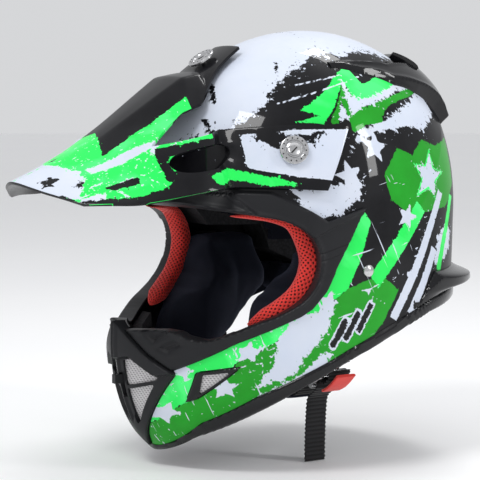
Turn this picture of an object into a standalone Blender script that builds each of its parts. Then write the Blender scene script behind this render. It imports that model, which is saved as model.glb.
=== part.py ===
"""Motocross helmet: shell, liners, peak, vents, trims, screws and chin strap.

Lengths in the tables below are millimetres and become metres when a mesh is made. The helmet faces -Y,
the wearer's left is +X and +Z is up. The origin is the middle of the wearer's head, on the middle plane.
"""

import math

import bmesh
import bpy
import numpy as np
from mathutils import Matrix, Vector

MM = 0.001

# ---- Driving dimensions (mm, degrees) ----
HALF_WIDTH = 122.0
SHELL_THICKNESS = 3.2
TRIM_GAP = 0.3
# Outside of the shell on the middle plane, from the chin over the crown to the nape: (y, z)
PROFILE = [
    (-100, -215), (-124, -190), (-142, -168), (-157, -122), (-158, -85), (-152, -45), (-144, -5),
    (-132, 32), (-114, 69), (-88, 102.5), (-58, 122.5), (-28, 136), (5, 142), (42, 138.5), (84, 120),
    (114, 90), (131, 52), (137, 15), (136, -20), (134, -55), (132, -90), (110, -160), (20, -220), (-60, -240),
]
# Roundness of the shell's half section at an angle from the front over the crown: (degrees, p, q)
SECTIONS = [
    (0, 2.3, 1.7), (45, 2.15, 2.05), (90, 2.1, 2.1), (135, 2.1, 2.1), (180, 2.15, 2.1),
    (225, 2.5, 2.1), (270, 3.2, 2.3), (300, 2.8, 1.7), (330, 2.3, 1.35),
]
# How far the spoiler stands above the shell: (degrees, mm, p, q)
SPOILER_SECTIONS = [
    (0, 1.2, 2.1, 2.1), (90, 1.2, 2.15, 2.1), (108, 3.0, 2.4, 2.3), (136, 6.0, 3.0, 2.8),
    (147, 4.0, 2.8, 2.6), (160, 1.2, 2.2, 2.1), (270, 1.2, 2.2, 2.1),
]
# How far the nape spoiler stands above the shell: (degrees, mm)
NAPE_FLARE = [(0, 2.0), (150, 2.0), (198, 2.5), (207, 15.0), (214, 18.0), (250, 2.0)]
# Facets round the form and from its pole to the middle plane
FINE = (32, 6)
COARSE = (20, 5)
SHARP_ANGLE = 35

# Side outlines, seen from the wearer's left: (y, z)
PORT = [
    (-200, 12), (-138, 8), (-114, 4.5), (-100, 2), (-85, -1), (-72, -4.5), (-60.5, -11), (-52, -20),
    (-48.5, -33), (-51, -48), (-60.5, -62.5), (-77, -73.5), (-92, -80.5), (-108, -89), (-121, -94.5),
    (-131, -92.5), (-142, -88), (-200, -87),
]
PORT_TRIM = [
    (-200, 26), (-104, 19.5), (-81, 18.7), (-56, 4.2), (-43, -4.2), (-11.4, 5.7), (-24, -18.6),
    (-35, -37.6), (-44, -56.5), (-55, -70), (-64, -76), (-104, -96), (-139, -121), (-200, -121),
]
BASE_LINE = [
    (-200, -197), (-128, -189), (-117, -165), (-88, -142), (-56, -124.5), (-22, -107), (29, -85.5),
    (58, -75), (100, -68), (180, -66),
]
JAW_LIP = 6.0
TRIM_UP = 4.5
TRIM_DOWN = 5.0
SIDE_VENT = [(-125.5, -119.5), (-100.5, -113.5), (-122.5, -140), (-128.5, -144)]
SIDE_VENT_WINDOW = [(-119.5, -122), (-109.5, -120), (-121.5, -134.5)]
NAPE_TOP = [(46, -71), (64, -48), (190, -46)]
EXHAUST = [(20, 24), (46, 19), (44, -27), (23, -24)]
EXHAUST_SLOT = (27, 40)
# Slots in each exhaust: how many, pitch and height
EXHAUST_STEPS = (4, 10, 6)
BROW_VENT = [(30, 12.5), (80, 13.5), (80, 18.5), (30, 21.5)]
# Forehead hole: degrees over the crown, distance from the middle plane and radius
INTAKE = (34, 41, 2.4)

# Front outlines, seen from ahead: (x, z)
MOUTH_SHIELD = [(0, -84), (30, -109.5), (48.5, -121.5), (0, -184), (-48.5, -121.5), (-30, -109.5)]
UPPER_WINDOW = [(8, -115), (13, -113.5), (33, -126), (12, -133)]
LOWER_WINDOW = [(9, -137), (30, -130.5), (9, -160)]
MESH_OUTLINE = [(4.2, -110), (15, -110), (37, -126), (34, -134), (12, -166), (4.2, -166)]
SHUTTER_OUTLINE = [(0, -111), (16, -111), (34, -124), (8, -157), (-8, -157), (-34, -124), (-16, -111)]
TAB_SLOT = (3.4, -124.5, -144.0)
# Extents along Y of the cuts through the chin and through the back
CHIN = (-220.0, -100.0)
REAR = (80.0, 200.0)

# Head cavity
HEAD_CENTRE = (0.0, 12.0, 2.0)
HEAD_RADII = (76.0, 97.0, 104.0)
LINER_THICKNESS = 8.0
EPS_OUTSIDE = -5.5
EPS_EDGE = [
    (-200, 24), (-112, 16), (-80, 10), (-56, 2), (-40, -12), (-32, -20), (8, -22), (26, -22), (34, -44),
    (60, -57), (200, -57),
]
LINER_EDGE = [(-200, 27), (-70, 27), (-40, -4), (8, -18), (26, -20), (34, -40), (60, -46), (200, -46)]
CHEEK = [
    (-88, -89), (-78, -83), (-62, -72), (-50, -58), (-43, -40), (-43, -27), (-36, -26), (16, -26), (20, -74),
    (-20, -95), (-50, -112), (-80, -124), (-88, -120),
]
CHEEK_OUTSIDE = -15.0
FACE_HALF = 50.0
SNAP = (8.0, -50.0)
CHEEK_BAND = [
    (-104, 3), (-86, 1), (-71, -3), (-59, -9), (-50, -19), (-46, -33), (-48.5, -49), (-58, -64),
    (-75, -76), (-98, -87.5), (-104, -82), (-78, -70), (-64.5, -59.5), (-56.5, -47), (-54, -33),
    (-57.5, -22), (-66.5, -12.5), (-84, -4.5), (-104, -1.5),
]
NECK_ROLL = [(30, -74), (40, -54), (62, -60.5), (200, -60.5), (200, -66), (100, -66), (58, -73), (36, -82)]

# Peak
PEAK_THICKNESS = 2.4
PEAK_RISE = 6.0
CROWN_RISE = 7.2
PIVOT = (-63.0, 47.5)
SCREW_RADIUS = 11.0
SCREW_HEIGHT = 2.8
CENTRE_ANGLE = 55.0
SLOT = (6.6, 17.0)
SCREW_SHANK = 2.5
SCREW_HOLE = 3.3
# Ring cut in a screw's face: inner radius, outer radius and depth
SCREW_GROOVE = (5.6, 7.2, 0.8)
SIDE_LIFT = PEAK_RISE + 1.2
CENTRE_LIFT = CROWN_RISE + 2.0

# Chin strap
WEB_WIDTH = 20.0
WEB_THICKNESS = 1.8
STRAP_Y = -12.0
BUCKLE = (70.0, -131.0)
PULL = (0.87, 0.5)
RIVET = (-8.0, -43.0)
RIVET_HOLE = 2.6
ANCHOR = (114.0, 115.4)
STRAP_X = 112.0
# D-ring: half its width, how far its bar and bow stand from its middle, and its wire's radius
RING_HALF = 13.5
RING_BAR = 9.6
RING_REACH = 12.0
RING_WIRE = 1.5
TAB_HINGE = (4.0, -12.6)
TAB_SIZE = (18.0, 2.4)


# ---- The helmet's form ----

def smooth_cycle(angle, knots):
    """A smooth closed curve through (degrees, value) knots."""
    xs = np.array([k[0] for k in knots], float)
    ys = np.array([k[1] for k in knots], float)
    xs = np.concatenate([xs[-2:] - 360, xs, xs[:2] + 360])
    ys = np.concatenate([ys[-2:], ys, ys[:2]])
    slope = np.zeros_like(xs)
    slope[1:-1] = (ys[2:] - ys[:-2]) / (xs[2:] - xs[:-2])
    angle = angle % 360
    i = int(np.clip(np.searchsorted(xs, angle) - 1, 1, len(xs) - 3))
    span = xs[i + 1] - xs[i]
    s = (angle - xs[i]) / span
    rise = (2 * s**3 - 3 * s**2 + 1) * ys[i] + (3 * s**2 - 2 * s**3) * ys[i + 1]
    return rise + span * ((s**3 - 2 * s**2 + s) * slope[i] + (s**3 - s**2) * slope[i + 1])


def angle_of(y, z):
    return math.degrees(math.atan2(z, -y)) % 360


RADII = sorted((angle_of(y, z), math.hypot(y, z)) for y, z in PROFILE)


def plain_form(angle, offset):
    """Middle-plane radius, half width and the two exponents of the shell at this offset from its outside."""
    p = smooth_cycle(angle, [(a, p) for a, p, _ in SECTIONS])
    q = smooth_cycle(angle, [(a, q) for a, _, q in SECTIONS])
    return smooth_cycle(angle, RADII) + offset, HALF_WIDTH + offset, p, q


def spoiler_form(angle, offset):
    lift = smooth_cycle(angle, [(a, lift) for a, lift, _, _ in SPOILER_SECTIONS])
    p = smooth_cycle(angle, [(a, p) for a, _, p, _ in SPOILER_SECTIONS])
    q = smooth_cycle(angle, [(a, q) for a, _, _, q in SPOILER_SECTIONS])
    return smooth_cycle(angle, RADII) + lift + offset, HALF_WIDTH + 1.0 + offset, p, q


def nape_form(angle, offset):
    radius, width, p, q = plain_form(angle, offset)
    flare = smooth_cycle(angle, NAPE_FLARE)
    return radius + flare, width + min(flare, 3.0), p, q


def form_point(angle, reach, side, offset=0.0, form=plain_form):
    """A point of the form: reach runs from 0 at the side pole to 1 on the middle plane."""
    radius, width, p, q = form(angle, offset)
    x = side * width * max(0.0, 1 - reach**p) ** (1 / q)
    a = math.radians(angle)
    return Vector((x, -reach * radius * math.cos(a), reach * radius * math.sin(a)))


def width_at(y, z, offset=0.0):
    """Half width of the form at a point of the side view."""
    angle = angle_of(y, z)
    radius, width, p, q = plain_form(angle, offset)
    reach = min(1.0, math.hypot(y, z) / radius)
    return width * (1 - reach**p) ** (1 / q)


def crown_point(angle, x, offset):
    """The point of the form at this angle and this x."""
    _, width, p, q = plain_form(angle, offset)
    return form_point(angle, (1 - (abs(x) / width) ** q) ** (1 / p), math.copysign(1, x), offset)


def form_normal(point):
    """Outward normal of the form on the wearer's left, from the width's slope."""
    y, z = point.y, point.z
    step = 0.5
    slope_y = (width_at(y + step, z) - width_at(y - step, z)) / (2 * step)
    slope_z = (width_at(y, z + step) - width_at(y, z - step)) / (2 * step)
    return Vector((1, -slope_y, -slope_z)).normalized()


# ---- Mesh helpers ----

def make_object(name, points, faces):
    mesh = bpy.data.meshes.new(name)
    mesh.from_pydata([[c * MM for c in p] for p in points], [], faces)
    work = bmesh.new()
    work.from_mesh(mesh)
    bmesh.ops.recalc_face_normals(work, faces=work.faces)
    bmesh.ops.triangulate(work, faces=work.faces, quad_method="FIXED")
    work.to_mesh(mesh)
    work.free()
    obj = bpy.data.objects.new(name, mesh)
    bpy.context.scene.collection.objects.link(obj)
    return obj


def settle(obj):
    """Replaces the object's mesh with what its modifiers make of it."""
    graph = bpy.context.evaluated_depsgraph_get()
    mesh = bpy.data.meshes.new_from_object(obj.evaluated_get(graph))
    obj.modifiers.clear()
    obj.data = mesh


def combine(obj, other, operation):
    change = obj.modifiers.new(operation.lower(), "BOOLEAN")
    change.operation = operation
    change.solver = "EXACT"
    change.object = other
    settle(obj)
    bpy.data.objects.remove(other, do_unlink=True)
    return obj


def cut(obj, *cutters):
    for cutter in cutters:
        combine(obj, cutter, "DIFFERENCE")
    return obj


def keep(obj, other):
    return combine(obj, other, "INTERSECT")


def fuse(obj, other):
    return combine(obj, other, "UNION")


def form_solid(name, offset, form=plain_form, steps=FINE):
    """The helmet's closed form, round the transverse axis, with a pole on each side."""
    around, across = steps
    reaches = [math.sin(math.pi / 2 * k / across) for k in range(1, across + 1)]
    columns = [(1, r) for r in reaches] + [(-1, r) for r in reversed(reaches[:-1])]
    points = [
        form_point(360 * i / around, reach, side, offset, form)
        for i in range(around) for side, reach in columns
    ]
    width = HALF_WIDTH + offset
    left, right = len(points), len(points) + 1
    points += [(width, 0, 0), (-width, 0, 0)]
    count = len(columns)
    faces = []
    for i in range(around):
        here, there = i * count, (i + 1) % around * count
        faces += [(here + k, here + k + 1, there + k + 1, there + k) for k in range(count - 1)]
        faces.append((left, here, there))
        faces.append((right, there + count - 1, here + count - 1))
    return make_object(name, points, faces)


def loft(name, near, far):
    """A closed solid between two outlines with the same number of points."""
    count = len(near)
    sides = [(i, (i + 1) % count, (i + 1) % count + count, i + count) for i in range(count)]
    caps = [tuple(range(count)), tuple(range(count, 2 * count))]
    return make_object(name, list(near) + list(far), sides + caps)


def rod(name, centre, axis, radius, high, low, steps=20):
    """A round bar along an axis, from low to high of the centre."""
    axis = Vector(axis).normalized()
    sideways = axis.orthogonal().normalized()
    third = axis.cross(sideways)
    rims = []
    for along in (low, high):
        rim = []
        for i in range(steps):
            turn = 2 * math.pi * i / steps
            out = sideways * math.cos(turn) + third * math.sin(turn)
            rim.append(Vector(centre) + axis * along + out * radius)
        rims.append(rim)
    return loft(name, rims[0], rims[1])


def side_prism(outline, low=-200.0, high=200.0):
    return loft("cutter", [(low, y, z) for y, z in outline], [(high, y, z) for y, z in outline])


def front_prism(outline, low=-220.0, high=-60.0):
    return loft("cutter", [(x, low, z) for x, z in outline], [(x, high, z) for x, z in outline])


def block(low, high):
    corners = [(low[0], low[2]), (high[0], low[2]), (high[0], high[2]), (low[0], high[2])]
    return front_prism(corners, low[1], high[1])


def side_span(side):
    return (2.0, 200.0) if side > 0 else (-200.0, -2.0)


def mirrored(outline, side):
    return [(side * x, z) for x, z in outline]


def grown(outline, by):
    """The outline moved outwards by this much, or inwards if negative."""
    count = len(outline)
    area = sum(
        outline[i][0] * outline[(i + 1) % count][1] - outline[(i + 1) % count][0] * outline[i][1]
        for i in range(count)
    )
    turn = 1 if area > 0 else -1
    result = []
    for i in range(count):
        here = Vector(outline[i])
        before = (here - Vector(outline[i - 1])).normalized()
        after = (Vector(outline[(i + 1) % count]) - here).normalized()
        first = Vector((before.y, -before.x)) * turn
        second = Vector((after.y, -after.x)) * turn
        corner = first + second
        result.append(tuple(here + corner * (2 * by / max(corner.length_squared, 0.6))))
    return result


def below(line, drop=0.0, floor=-320.0):
    """The side outline of everything under a line that runs from front to rear."""
    return [(y, z - drop) for y, z in line] + [(line[-1][0], floor), (line[0][0], floor)]


def slab(name, outside, inside, steps=FINE):
    """The layer of the form between two offsets."""
    return cut(form_solid(name, outside, steps=steps), form_solid("cutter", inside, steps=steps))


def all_but(hole):
    """What a part seated on the shell must clear: the whole form, apart from the hole that the part plugs."""
    return cut(form_solid("cutter", TRIM_GAP), hole)


def ellipsoid(name, grow=0.0):
    """The head's form, running straight down below its middle so that the head can enter."""
    turns, rows = 20, 6
    points = []
    for row in range(rows):
        rise = math.radians(88 * row / (rows - 1))
        for turn in range(turns):
            around = 2 * math.pi * turn / turns
            across = math.cos(rise)
            points.append((
                HEAD_CENTRE[0] + (HEAD_RADII[0] + grow) * across * math.cos(around),
                HEAD_CENTRE[1] + (HEAD_RADII[1] + grow) * across * math.sin(around),
                HEAD_CENTRE[2] + (HEAD_RADII[2] + grow) * math.sin(rise),
            ))
    foot = [(p[0], p[1], -260.0) for p in points[:turns]]
    points = foot + points
    faces = [tuple(range(turns)), tuple(range(rows * turns, (rows + 1) * turns))]
    for row in range(rows):
        base = row * turns
        faces += [(base + i, base + (i + 1) % turns, base + (i + 1) % turns + turns, base + turns + i)
                  for i in range(turns)]
    return make_object(name, points, faces)


def set_origin(obj, point):
    """Moves the object's origin to a point in millimetres without moving its shape."""
    place = Vector(point) * MM
    obj.data.transform(Matrix.Translation(-place))
    obj.location = place


def finish(obj, colour, roughness, metallic=0.0):
    """Names the mesh after the object, shades it and gives it its material."""
    material = bpy.data.materials.new(obj.name)
    material.use_nodes = True
    shader = material.node_tree.nodes["Principled BSDF"]
    shader.inputs["Base Color"].default_value = (*colour, 1)
    shader.inputs["Roughness"].default_value = roughness
    shader.inputs["Metallic"].default_value = metallic
    obj.data.materials.clear()
    obj.data.materials.append(material)
    obj.data.shade_smooth()
    obj.data.set_sharp_from_angle(angle=math.radians(SHARP_ANGLE))
    return obj


GREEN = (0.03, 0.75, 0.11)
GLOSS_BLACK = (0.008, 0.008, 0.01)
SATIN_BLACK = (0.018, 0.019, 0.022)
FOAM_GREY = (0.06, 0.06, 0.065)
FABRIC_BLACK = (0.012, 0.013, 0.018)
RED = (0.75, 0.03, 0.025)
STEEL = (0.72, 0.73, 0.75)
MESH_GREY = (0.35, 0.34, 0.35)
SIDES = (("left", 1), ("right", -1))


# ---- Shell and impact liner ----

def forehead_intakes(depth):
    """Two small round air intakes high on the forehead."""
    cutters = []
    for _, side in SIDES:
        angle, across, radius = INTAKE
        spot = crown_point(angle, side * across, 0)
        cutters.append(rod("cutter", spot, Vector((side * 0.35, -0.8, 0.45)), radius, 6, -depth, 6))
    return cutters


def outer_shell():
    shell = slab("outer_shell", 0, -SHELL_THICKNESS)
    cut(shell, side_prism(grown(PORT, 7)), side_prism(below(BASE_LINE)))
    cut(shell, front_prism(grown(MOUTH_SHIELD, -5.0), *CHIN))
    for _, side in SIDES:
        cut(shell, side_prism(grown(SIDE_VENT, -1.8), *side_span(side)))
        cut(shell, front_prism(mirrored(grown(EXHAUST, -3.0), side), *REAR))
        cut(shell, rod("cutter", (side * 120, *RIVET), (side, 0, 0), RIVET_HOLE, 12, -12, 12))
        spot, normal = pivot_spot(side, 0)
        cut(shell, rod("cutter", spot, normal, SCREW_HOLE, 10, -10, 12))
    spot, normal = centre_spot(0)
    cut(shell, rod("cutter", spot, normal, SCREW_HOLE, 10, -10, 12), *forehead_intakes(8))
    return finish(shell, GREEN, 0.12)


def eps_liner():
    liner = form_solid("eps_liner", EPS_OUTSIDE, steps=COARSE)
    cut(liner, ellipsoid("cutter", LINER_THICKNESS + 0.5), side_prism(below(EPS_EDGE)))
    cut(liner, side_prism(grown(PORT, 13)))
    for _, side in SIDES:
        spot, normal = pivot_spot(side, 0)
        cut(liner, rod("cutter", spot, normal, 9, 4, -17, 8))
    spot, normal = centre_spot(0)
    cut(liner, rod("cutter", spot, normal, 9, 4, -17, 8))
    cut(liner, front_prism([(-60, 30), (60, 30), (60, -40), (-60, -40)], 122, 200))
    return finish(liner, FOAM_GREY, 0.9)


def chin_eps():
    pad = slab("chin_eps", -10.5, -22, COARSE)
    keep(pad, side_prism([(-92, -90), (-200, -90), (-200, -178), (-120, -174), (-92, -138)]))
    cut(pad, front_prism(grown(MOUTH_SHIELD, 2), -220, -60), side_prism(grown(PORT, 7.4)))
    bridge = front_prism([(-70, -102), (70, -102), (70, -110), (-70, -110)], -220, -92)
    fuse(pad, keep(slab("bridge", -20, -26, COARSE), bridge))
    return finish(pad, FOAM_GREY, 0.9)


def comfort_liner():
    liner = ellipsoid("comfort_liner", LINER_THICKNESS)
    cut(liner, ellipsoid("cutter"), side_prism(below(LINER_EDGE)))
    cut(liner, side_prism(grown(PORT, 15)))
    return finish(liner, FABRIC_BLACK, 0.95)


def cheek_pad(label, side):
    pad = form_solid(f"cheek_pad_{label}", CHEEK_OUTSIDE, steps=COARSE)
    keep(pad, side_prism(CHEEK, *side_span(side)))
    cut(pad, ellipsoid("cutter", -6), block((-FACE_HALF, -140, -200), (FACE_HALF, 60, 0)))
    return finish(pad, FABRIC_BLACK, 0.95)


def cheek_mesh(label, side):
    band = slab(f"cheek_mesh_{label}", -11.5, -27)
    keep(band, side_prism(CHEEK_BAND, *side_span(side)))
    return finish(band, RED, 0.85)


def neck_roll():
    roll = form_solid("neck_roll", -9)
    keep(roll, side_prism(NECK_ROLL))
    cut(roll, ellipsoid("cutter", 1))
    return finish(roll, FABRIC_BLACK, 0.95)


def cheek_snap(label, side):
    """The snap that holds a cheek pad to the liner."""
    y, z = SNAP
    x = width_at(y, z, CHEEK_OUTSIDE)
    snap = rod(f"cheek_snap_{label}", (side * (x + 0.6), y, z), (side, 0, 0), 5.5, 3.4, 0, 12)
    return finish(snap, STEEL, 0.3, 1.0)


# ---- Mouldings on the shell ----

def seated(name, outline, hole, rise, depth, form=plain_form):
    """A moulding that lies on the shell inside an outline, and plugs a hole of the shell."""
    part = keep(form_solid(name, rise, form), outline)
    cut(part, all_but(hole))
    return cut(part, form_solid("cutter", -depth))


def eyeport_trim():
    trim = seated("eyeport_trim", side_prism(PORT_TRIM), side_prism(grown(PORT, 6.7)), 2.2, 10)
    cut(trim, side_prism(PORT), front_prism(grown(MOUTH_SHIELD, 0.4), *CHIN))
    for _, side in SIDES:
        cut(trim, front_prism(mirrored(BROW_VENT, side)))
    return finish(trim, SATIN_BLACK, 0.45)


def brow_vent(label, side):
    grille = slab(f"brow_vent_grille_{label}", 1.7, 0.7)
    keep(grille, front_prism(mirrored(grown(BROW_VENT, -0.4), side)))
    return finish(grille, MESH_GREY, 0.5)


def base_band():
    """The strip of the side view that the base trim covers, with a wider lip under the jaw."""
    top = [(y, z + TRIM_UP) for y, z in BASE_LINE]
    drops = [TRIM_DOWN, TRIM_DOWN, JAW_LIP + 3, JAW_LIP + 5] + [TRIM_DOWN] * (len(BASE_LINE) - 4)
    bottom = [(y, z - drop) for (y, z), drop in zip(BASE_LINE, drops)]
    return top + bottom[::-1]


def base_trim():
    trim = keep(form_solid("base_trim", 1.8), side_prism(base_band()))
    wall = slab("cutter", TRIM_GAP, -SHELL_THICKNESS - TRIM_GAP)
    cut(trim, cut(wall, side_prism(below(BASE_LINE, TRIM_GAP))))
    cut(trim, form_solid("cutter", -7))
    cut(trim, front_prism(grown(MOUTH_SHIELD, 0.4), *CHIN))
    return finish(trim, GLOSS_BLACK, 0.3)


def mouth_housing():
    hole = front_prism(grown(MOUTH_SHIELD, -5.3), *CHIN)
    part = seated("mouth_vent_housing", front_prism(MOUTH_SHIELD, *CHIN), hole, 3.0, 7)
    cut(part, side_prism(below(BASE_LINE, -TRIM_UP - 0.4)))
    cut(part, side_prism([(-220, -70), (-100, -70), (-100, -87), (-142, -88.5), (-220, -87.5)]))
    for _, side in SIDES:
        cut(part, front_prism(mirrored(UPPER_WINDOW, side)), front_prism(mirrored(LOWER_WINDOW, side)))
    half, high, low = TAB_SLOT
    cut(part, block((-half, -200, low), (half, -100, high)))
    return finish(part, SATIN_BLACK, 0.4)


def mouth_mesh(label, side):
    mesh = slab(f"mouth_vent_mesh_{label}", -7.4, -8.4)
    keep(mesh, front_prism(mirrored(MESH_OUTLINE, side)))
    return finish(mesh, MESH_GREY, 0.5)


def mouth_shutter():
    """The sliding plate behind the mesh, with openings that line up with the windows, and its tab."""
    plate = slab("mouth_vent_shutter", -10.8, -12.4)
    keep(plate, front_prism(SHUTTER_OUTLINE))
    for _, side in SIDES:
        cut(plate, front_prism(mirrored([(8, -118), (13, -117), (27, -126), (12, -131)], side)))
        cut(plate, front_prism(mirrored([(8, -138.5), (23, -135), (8, -154)], side)))
    tab = block((-2.6, -163.5, -133.5), (2.6, -143.5, -126.5))
    return finish(fuse(plate, tab), GLOSS_BLACK, 0.35)


def mouth_filter():
    pad = slab("mouth_vent_filter", -16.6, -19.6)
    keep(pad, front_prism([(-30, -112), (30, -112), (34, -124), (12, -160), (-12, -160), (-34, -124)]))
    return finish(pad, FOAM_GREY, 0.95)


def side_vent_frame(label, side):
    outline = side_prism(SIDE_VENT, *side_span(side))
    hole = side_prism(grown(SIDE_VENT, -2.2), *side_span(side))
    frame = seated(f"side_vent_frame_{label}", outline, hole, 1.4, 5)
    cut(frame, side_prism(SIDE_VENT_WINDOW, *side_span(side)))
    return finish(frame, GLOSS_BLACK, 0.3)


def side_vent_mesh(label, side):
    mesh = slab(f"side_vent_mesh_{label}", -5.4, -6.4)
    keep(mesh, side_prism(grown(SIDE_VENT_WINDOW, 1.5), *side_span(side)))
    return finish(mesh, MESH_GREY, 0.5)


def rear_spoiler():
    """The raised deck over the rear of the crown, open towards the front between its two ridges."""
    outline = [
        (76, -14), (84, 14), (86, 42), (80, 68), (72, 92), (66, 125), (-66, 125), (-72, 92), (-80, 68),
        (-86, 42), (-84, 14), (-76, -14), (-71, -14), (-72, 14), (-70, 40), (-60, 62), (-36, 78), (0, 84),
        (36, 78), (60, 62), (70, 40), (72, 14), (71, -14),
    ]
    part = form_solid("rear_spoiler", 0, spoiler_form)
    keep(part, loft("cutter", [(x, y, 66.0) for x, y in outline], [(x, y, 170.0) for x, y in outline]))
    cut(part, form_solid("cutter", TRIM_GAP + 0.2))
    return finish(part, GLOSS_BLACK, 0.15)


def rear_exhaust(label, side):
    outline = front_prism(mirrored(EXHAUST, side), *REAR)
    hole = front_prism(mirrored(grown(EXHAUST, -3.4), side), *REAR)
    part = seated(f"rear_exhaust_{label}", outline, hole, 1.8, 4.6)
    count, pitch, height = EXHAUST_STEPS
    left, right = sorted(side * x for x in EXHAUST_SLOT)
    low = EXHAUST[2][1] + height
    for step in range(count):
        z = low + step * pitch
        cut(part, block((left, REAR[0], z), (right, REAR[1], z + height)))
    return finish(part, GLOSS_BLACK, 0.3)


def nape_spoiler():
    rest = [(y, z + TRIM_UP + 0.6) for y, z in BASE_LINE if y > 50]
    part = keep(form_solid("nape_spoiler", 0, nape_form), side_prism(NAPE_TOP + rest[::-1]))
    cut(part, form_solid("cutter", TRIM_GAP + 0.1))
    return finish(part, GLOSS_BLACK, 0.25)


# ---- Peak ----

def on_side(y, z):
    return (width_at(y, z, PEAK_RISE), y, z)


def on_crown(angle, x):
    return tuple(crown_point(angle, x, CROWN_RISE))


def peak_cage():
    """Left half of the peak's outer surface: named rows of points from the front edge to the rear."""
    rows = {
        "front": [(0, -249, 27), (14, -246, 25), (34, -238.5, 20), (50, -229.5, 16.5), (63, -221.5, 11.6)],
        "blade": [(0, -222, 37.5), (14, -221, 36), (37, -217, 29.5), (58, -211, 22.5), (80, -205, 13.5)],
        "middle": [(0, -196, 51), (14, -195.5, 49.5), (40, -190, 42), (62, -185, 33), (86.5, -186, 12)],
        "root": [(0, -171, 66), (14, -171, 64.5), (38, -163, 59), (62, -165, 52.7), (88.5, -160, 15.5)],
        "slope": [(0, -141, 87), (18, -142, 85), (34, -141, 73), (50, -143, 67.6)],
        "top": [(0, -114, 105.5), (22, -114, 104), (32, -117, 91), (42, -125, 77.5)],
        "step": [(0, -97, 109), (22, -98, 107), (32, -99, 97), (41, -107, 84)],
        "plate": [on_crown(49, 0), on_crown(49, 15), on_crown(49, 22), on_crown(49, 28)],
        "screw": [on_crown(56, 0), on_crown(56, 12), on_crown(56, 18), on_crown(56, 23)],
        "tail": [on_crown(65, 0), on_crown(65, 8), on_crown(65, 14), on_crown(65, 18)],
        "window": [(70, -158, 46), (80, -156, 33)],
        "arm": [(78, -127, 59.8), (82, -129, 52.6), (89, -131, 34), (95, -133.6, 20.5)],
        "strut": [on_side(-102, 65.7), on_side(-101, 57), on_side(-104, 39), on_side(-102, 23)],
        "side": [on_side(-62, 69.3), on_side(-63, 56), on_side(-65, 39), on_side(-70, 21)],
        "end": [on_side(-20, 68.3), on_side(-28, 54), on_side(-36, 38), on_side(-45, 19.5)],
    }
    points = []
    index = {}
    for name, row in rows.items():
        for k, point in enumerate(row):
            index[name, k] = len(points)
            points.append(point)
    faces = []
    for first, second, count in (
        ("front", "blade", 4), ("blade", "middle", 4), ("middle", "root", 4), ("root", "slope", 3),
        ("slope", "top", 3), ("top", "step", 3), ("step", "plate", 3), ("plate", "screw", 3),
        ("screw", "tail", 3), ("strut", "side", 3), ("side", "end", 3),
    ):
        for k in range(count):
            faces.append((index[first, k], index[first, k + 1], index[second, k + 1], index[second, k]))
    corner = index["root", 3], index["root", 4], index["window", 1], index["window", 0]
    upper = index["root", 3], index["window", 0], index["arm", 1], index["arm", 0]
    lower = index["window", 1], index["root", 4], index["arm", 3], index["arm", 2]
    faces += [corner, upper, lower]
    for k in (0, 2):
        faces.append((index["arm", k], index["arm", k + 1], index["strut", k + 1], index["strut", k]))
    return points, faces


def peak():
    points, faces = peak_cage()
    count = len(points)
    middle = [i for i, p in enumerate(points) if p[0] == 0]
    opposite = {i: (i if i in middle else i + count) for i in range(count)}
    points += [(-x, y, z) for x, y, z in points]
    faces += [tuple(opposite[i] for i in reversed(face)) for face in faces]
    mesh = bpy.data.meshes.new("peak")
    mesh.from_pydata([[c * MM for c in p] for p in points], [], faces)
    work = bmesh.new()
    work.from_mesh(mesh)
    bmesh.ops.delete(work, geom=[v for v in work.verts if not v.link_faces], context="VERTS")
    bmesh.ops.recalc_face_normals(work, faces=work.faces)
    top = max(work.faces, key=lambda face: face.calc_center_median().z)
    if top.normal.z < 0:
        bmesh.ops.reverse_faces(work, faces=work.faces)
    work.to_mesh(mesh)
    work.free()
    obj = bpy.data.objects.new("peak", mesh)
    bpy.context.scene.collection.objects.link(obj)
    wall = obj.modifiers.new("wall", "SOLIDIFY")
    wall.thickness = PEAK_THICKNESS * MM
    wall.offset = -1
    wall.use_even_offset = True
    settle(obj)
    for _, side in SIDES:
        spot, normal = pivot_spot(side, PEAK_RISE)
        cut(obj, rod("cutter", spot, normal, 3.4, 8, -6, 12))
    cut(obj, centre_slot())
    set_origin(obj, (0, *PIVOT))
    return finish(obj, GREEN, 0.15)


def pivot_spot(side, offset):
    """The side screw's place on the form, and the way it points."""
    spot = Vector((width_at(*PIVOT), *PIVOT))
    normal = form_normal(spot)
    spot = spot + normal * offset
    return Vector((side * spot.x, spot.y, spot.z)), Vector((side * normal.x, normal.y, normal.z))


def centre_spot(offset):
    spot = crown_point(CENTRE_ANGLE, 0, 0)
    along = crown_point(CENTRE_ANGLE + 3, 0, 0) - crown_point(CENTRE_ANGLE - 3, 0, 0)
    normal = Vector((0, -along.z, along.y)).normalized()
    return spot + normal * offset, normal


def centre_slot():
    """The slot that lets the centre of the peak slide under its screw as the peak tilts."""
    spot, normal = centre_spot(PEAK_RISE)
    width, length = SLOT
    along = Vector((0, normal.z, -normal.y))
    across = Vector((1, 0, 0))
    corners = ((1, 1), (1, -1), (-1, -1), (-1, 1))
    rim = [spot + across * (a * width / 2) + along * (b * length / 2) for a, b in corners]
    return loft("cutter", [p + normal * 8 for p in rim], [p - normal * 8 for p in rim])


def peak_screw(name, spot, normal, lift):
    """A coin-slotted disc with its shank: spot is on the shell's outside."""
    head = rod(name, spot, normal, SCREW_RADIUS, lift + SCREW_HEIGHT, lift, 20)
    fuse(head, rod("cutter", spot, normal, SCREW_SHANK, lift + 1, -12, 8))
    inner, outer, deep = SCREW_GROOVE
    ring = rod("cutter", spot, normal, outer, lift + 9, lift + SCREW_HEIGHT - deep, 20)
    cut(head, cut(ring, rod("cutter", spot, normal, inner, lift + 10, lift, 20)))
    set_origin(head, spot)
    return finish(head, STEEL, 0.25, 1.0)


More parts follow.
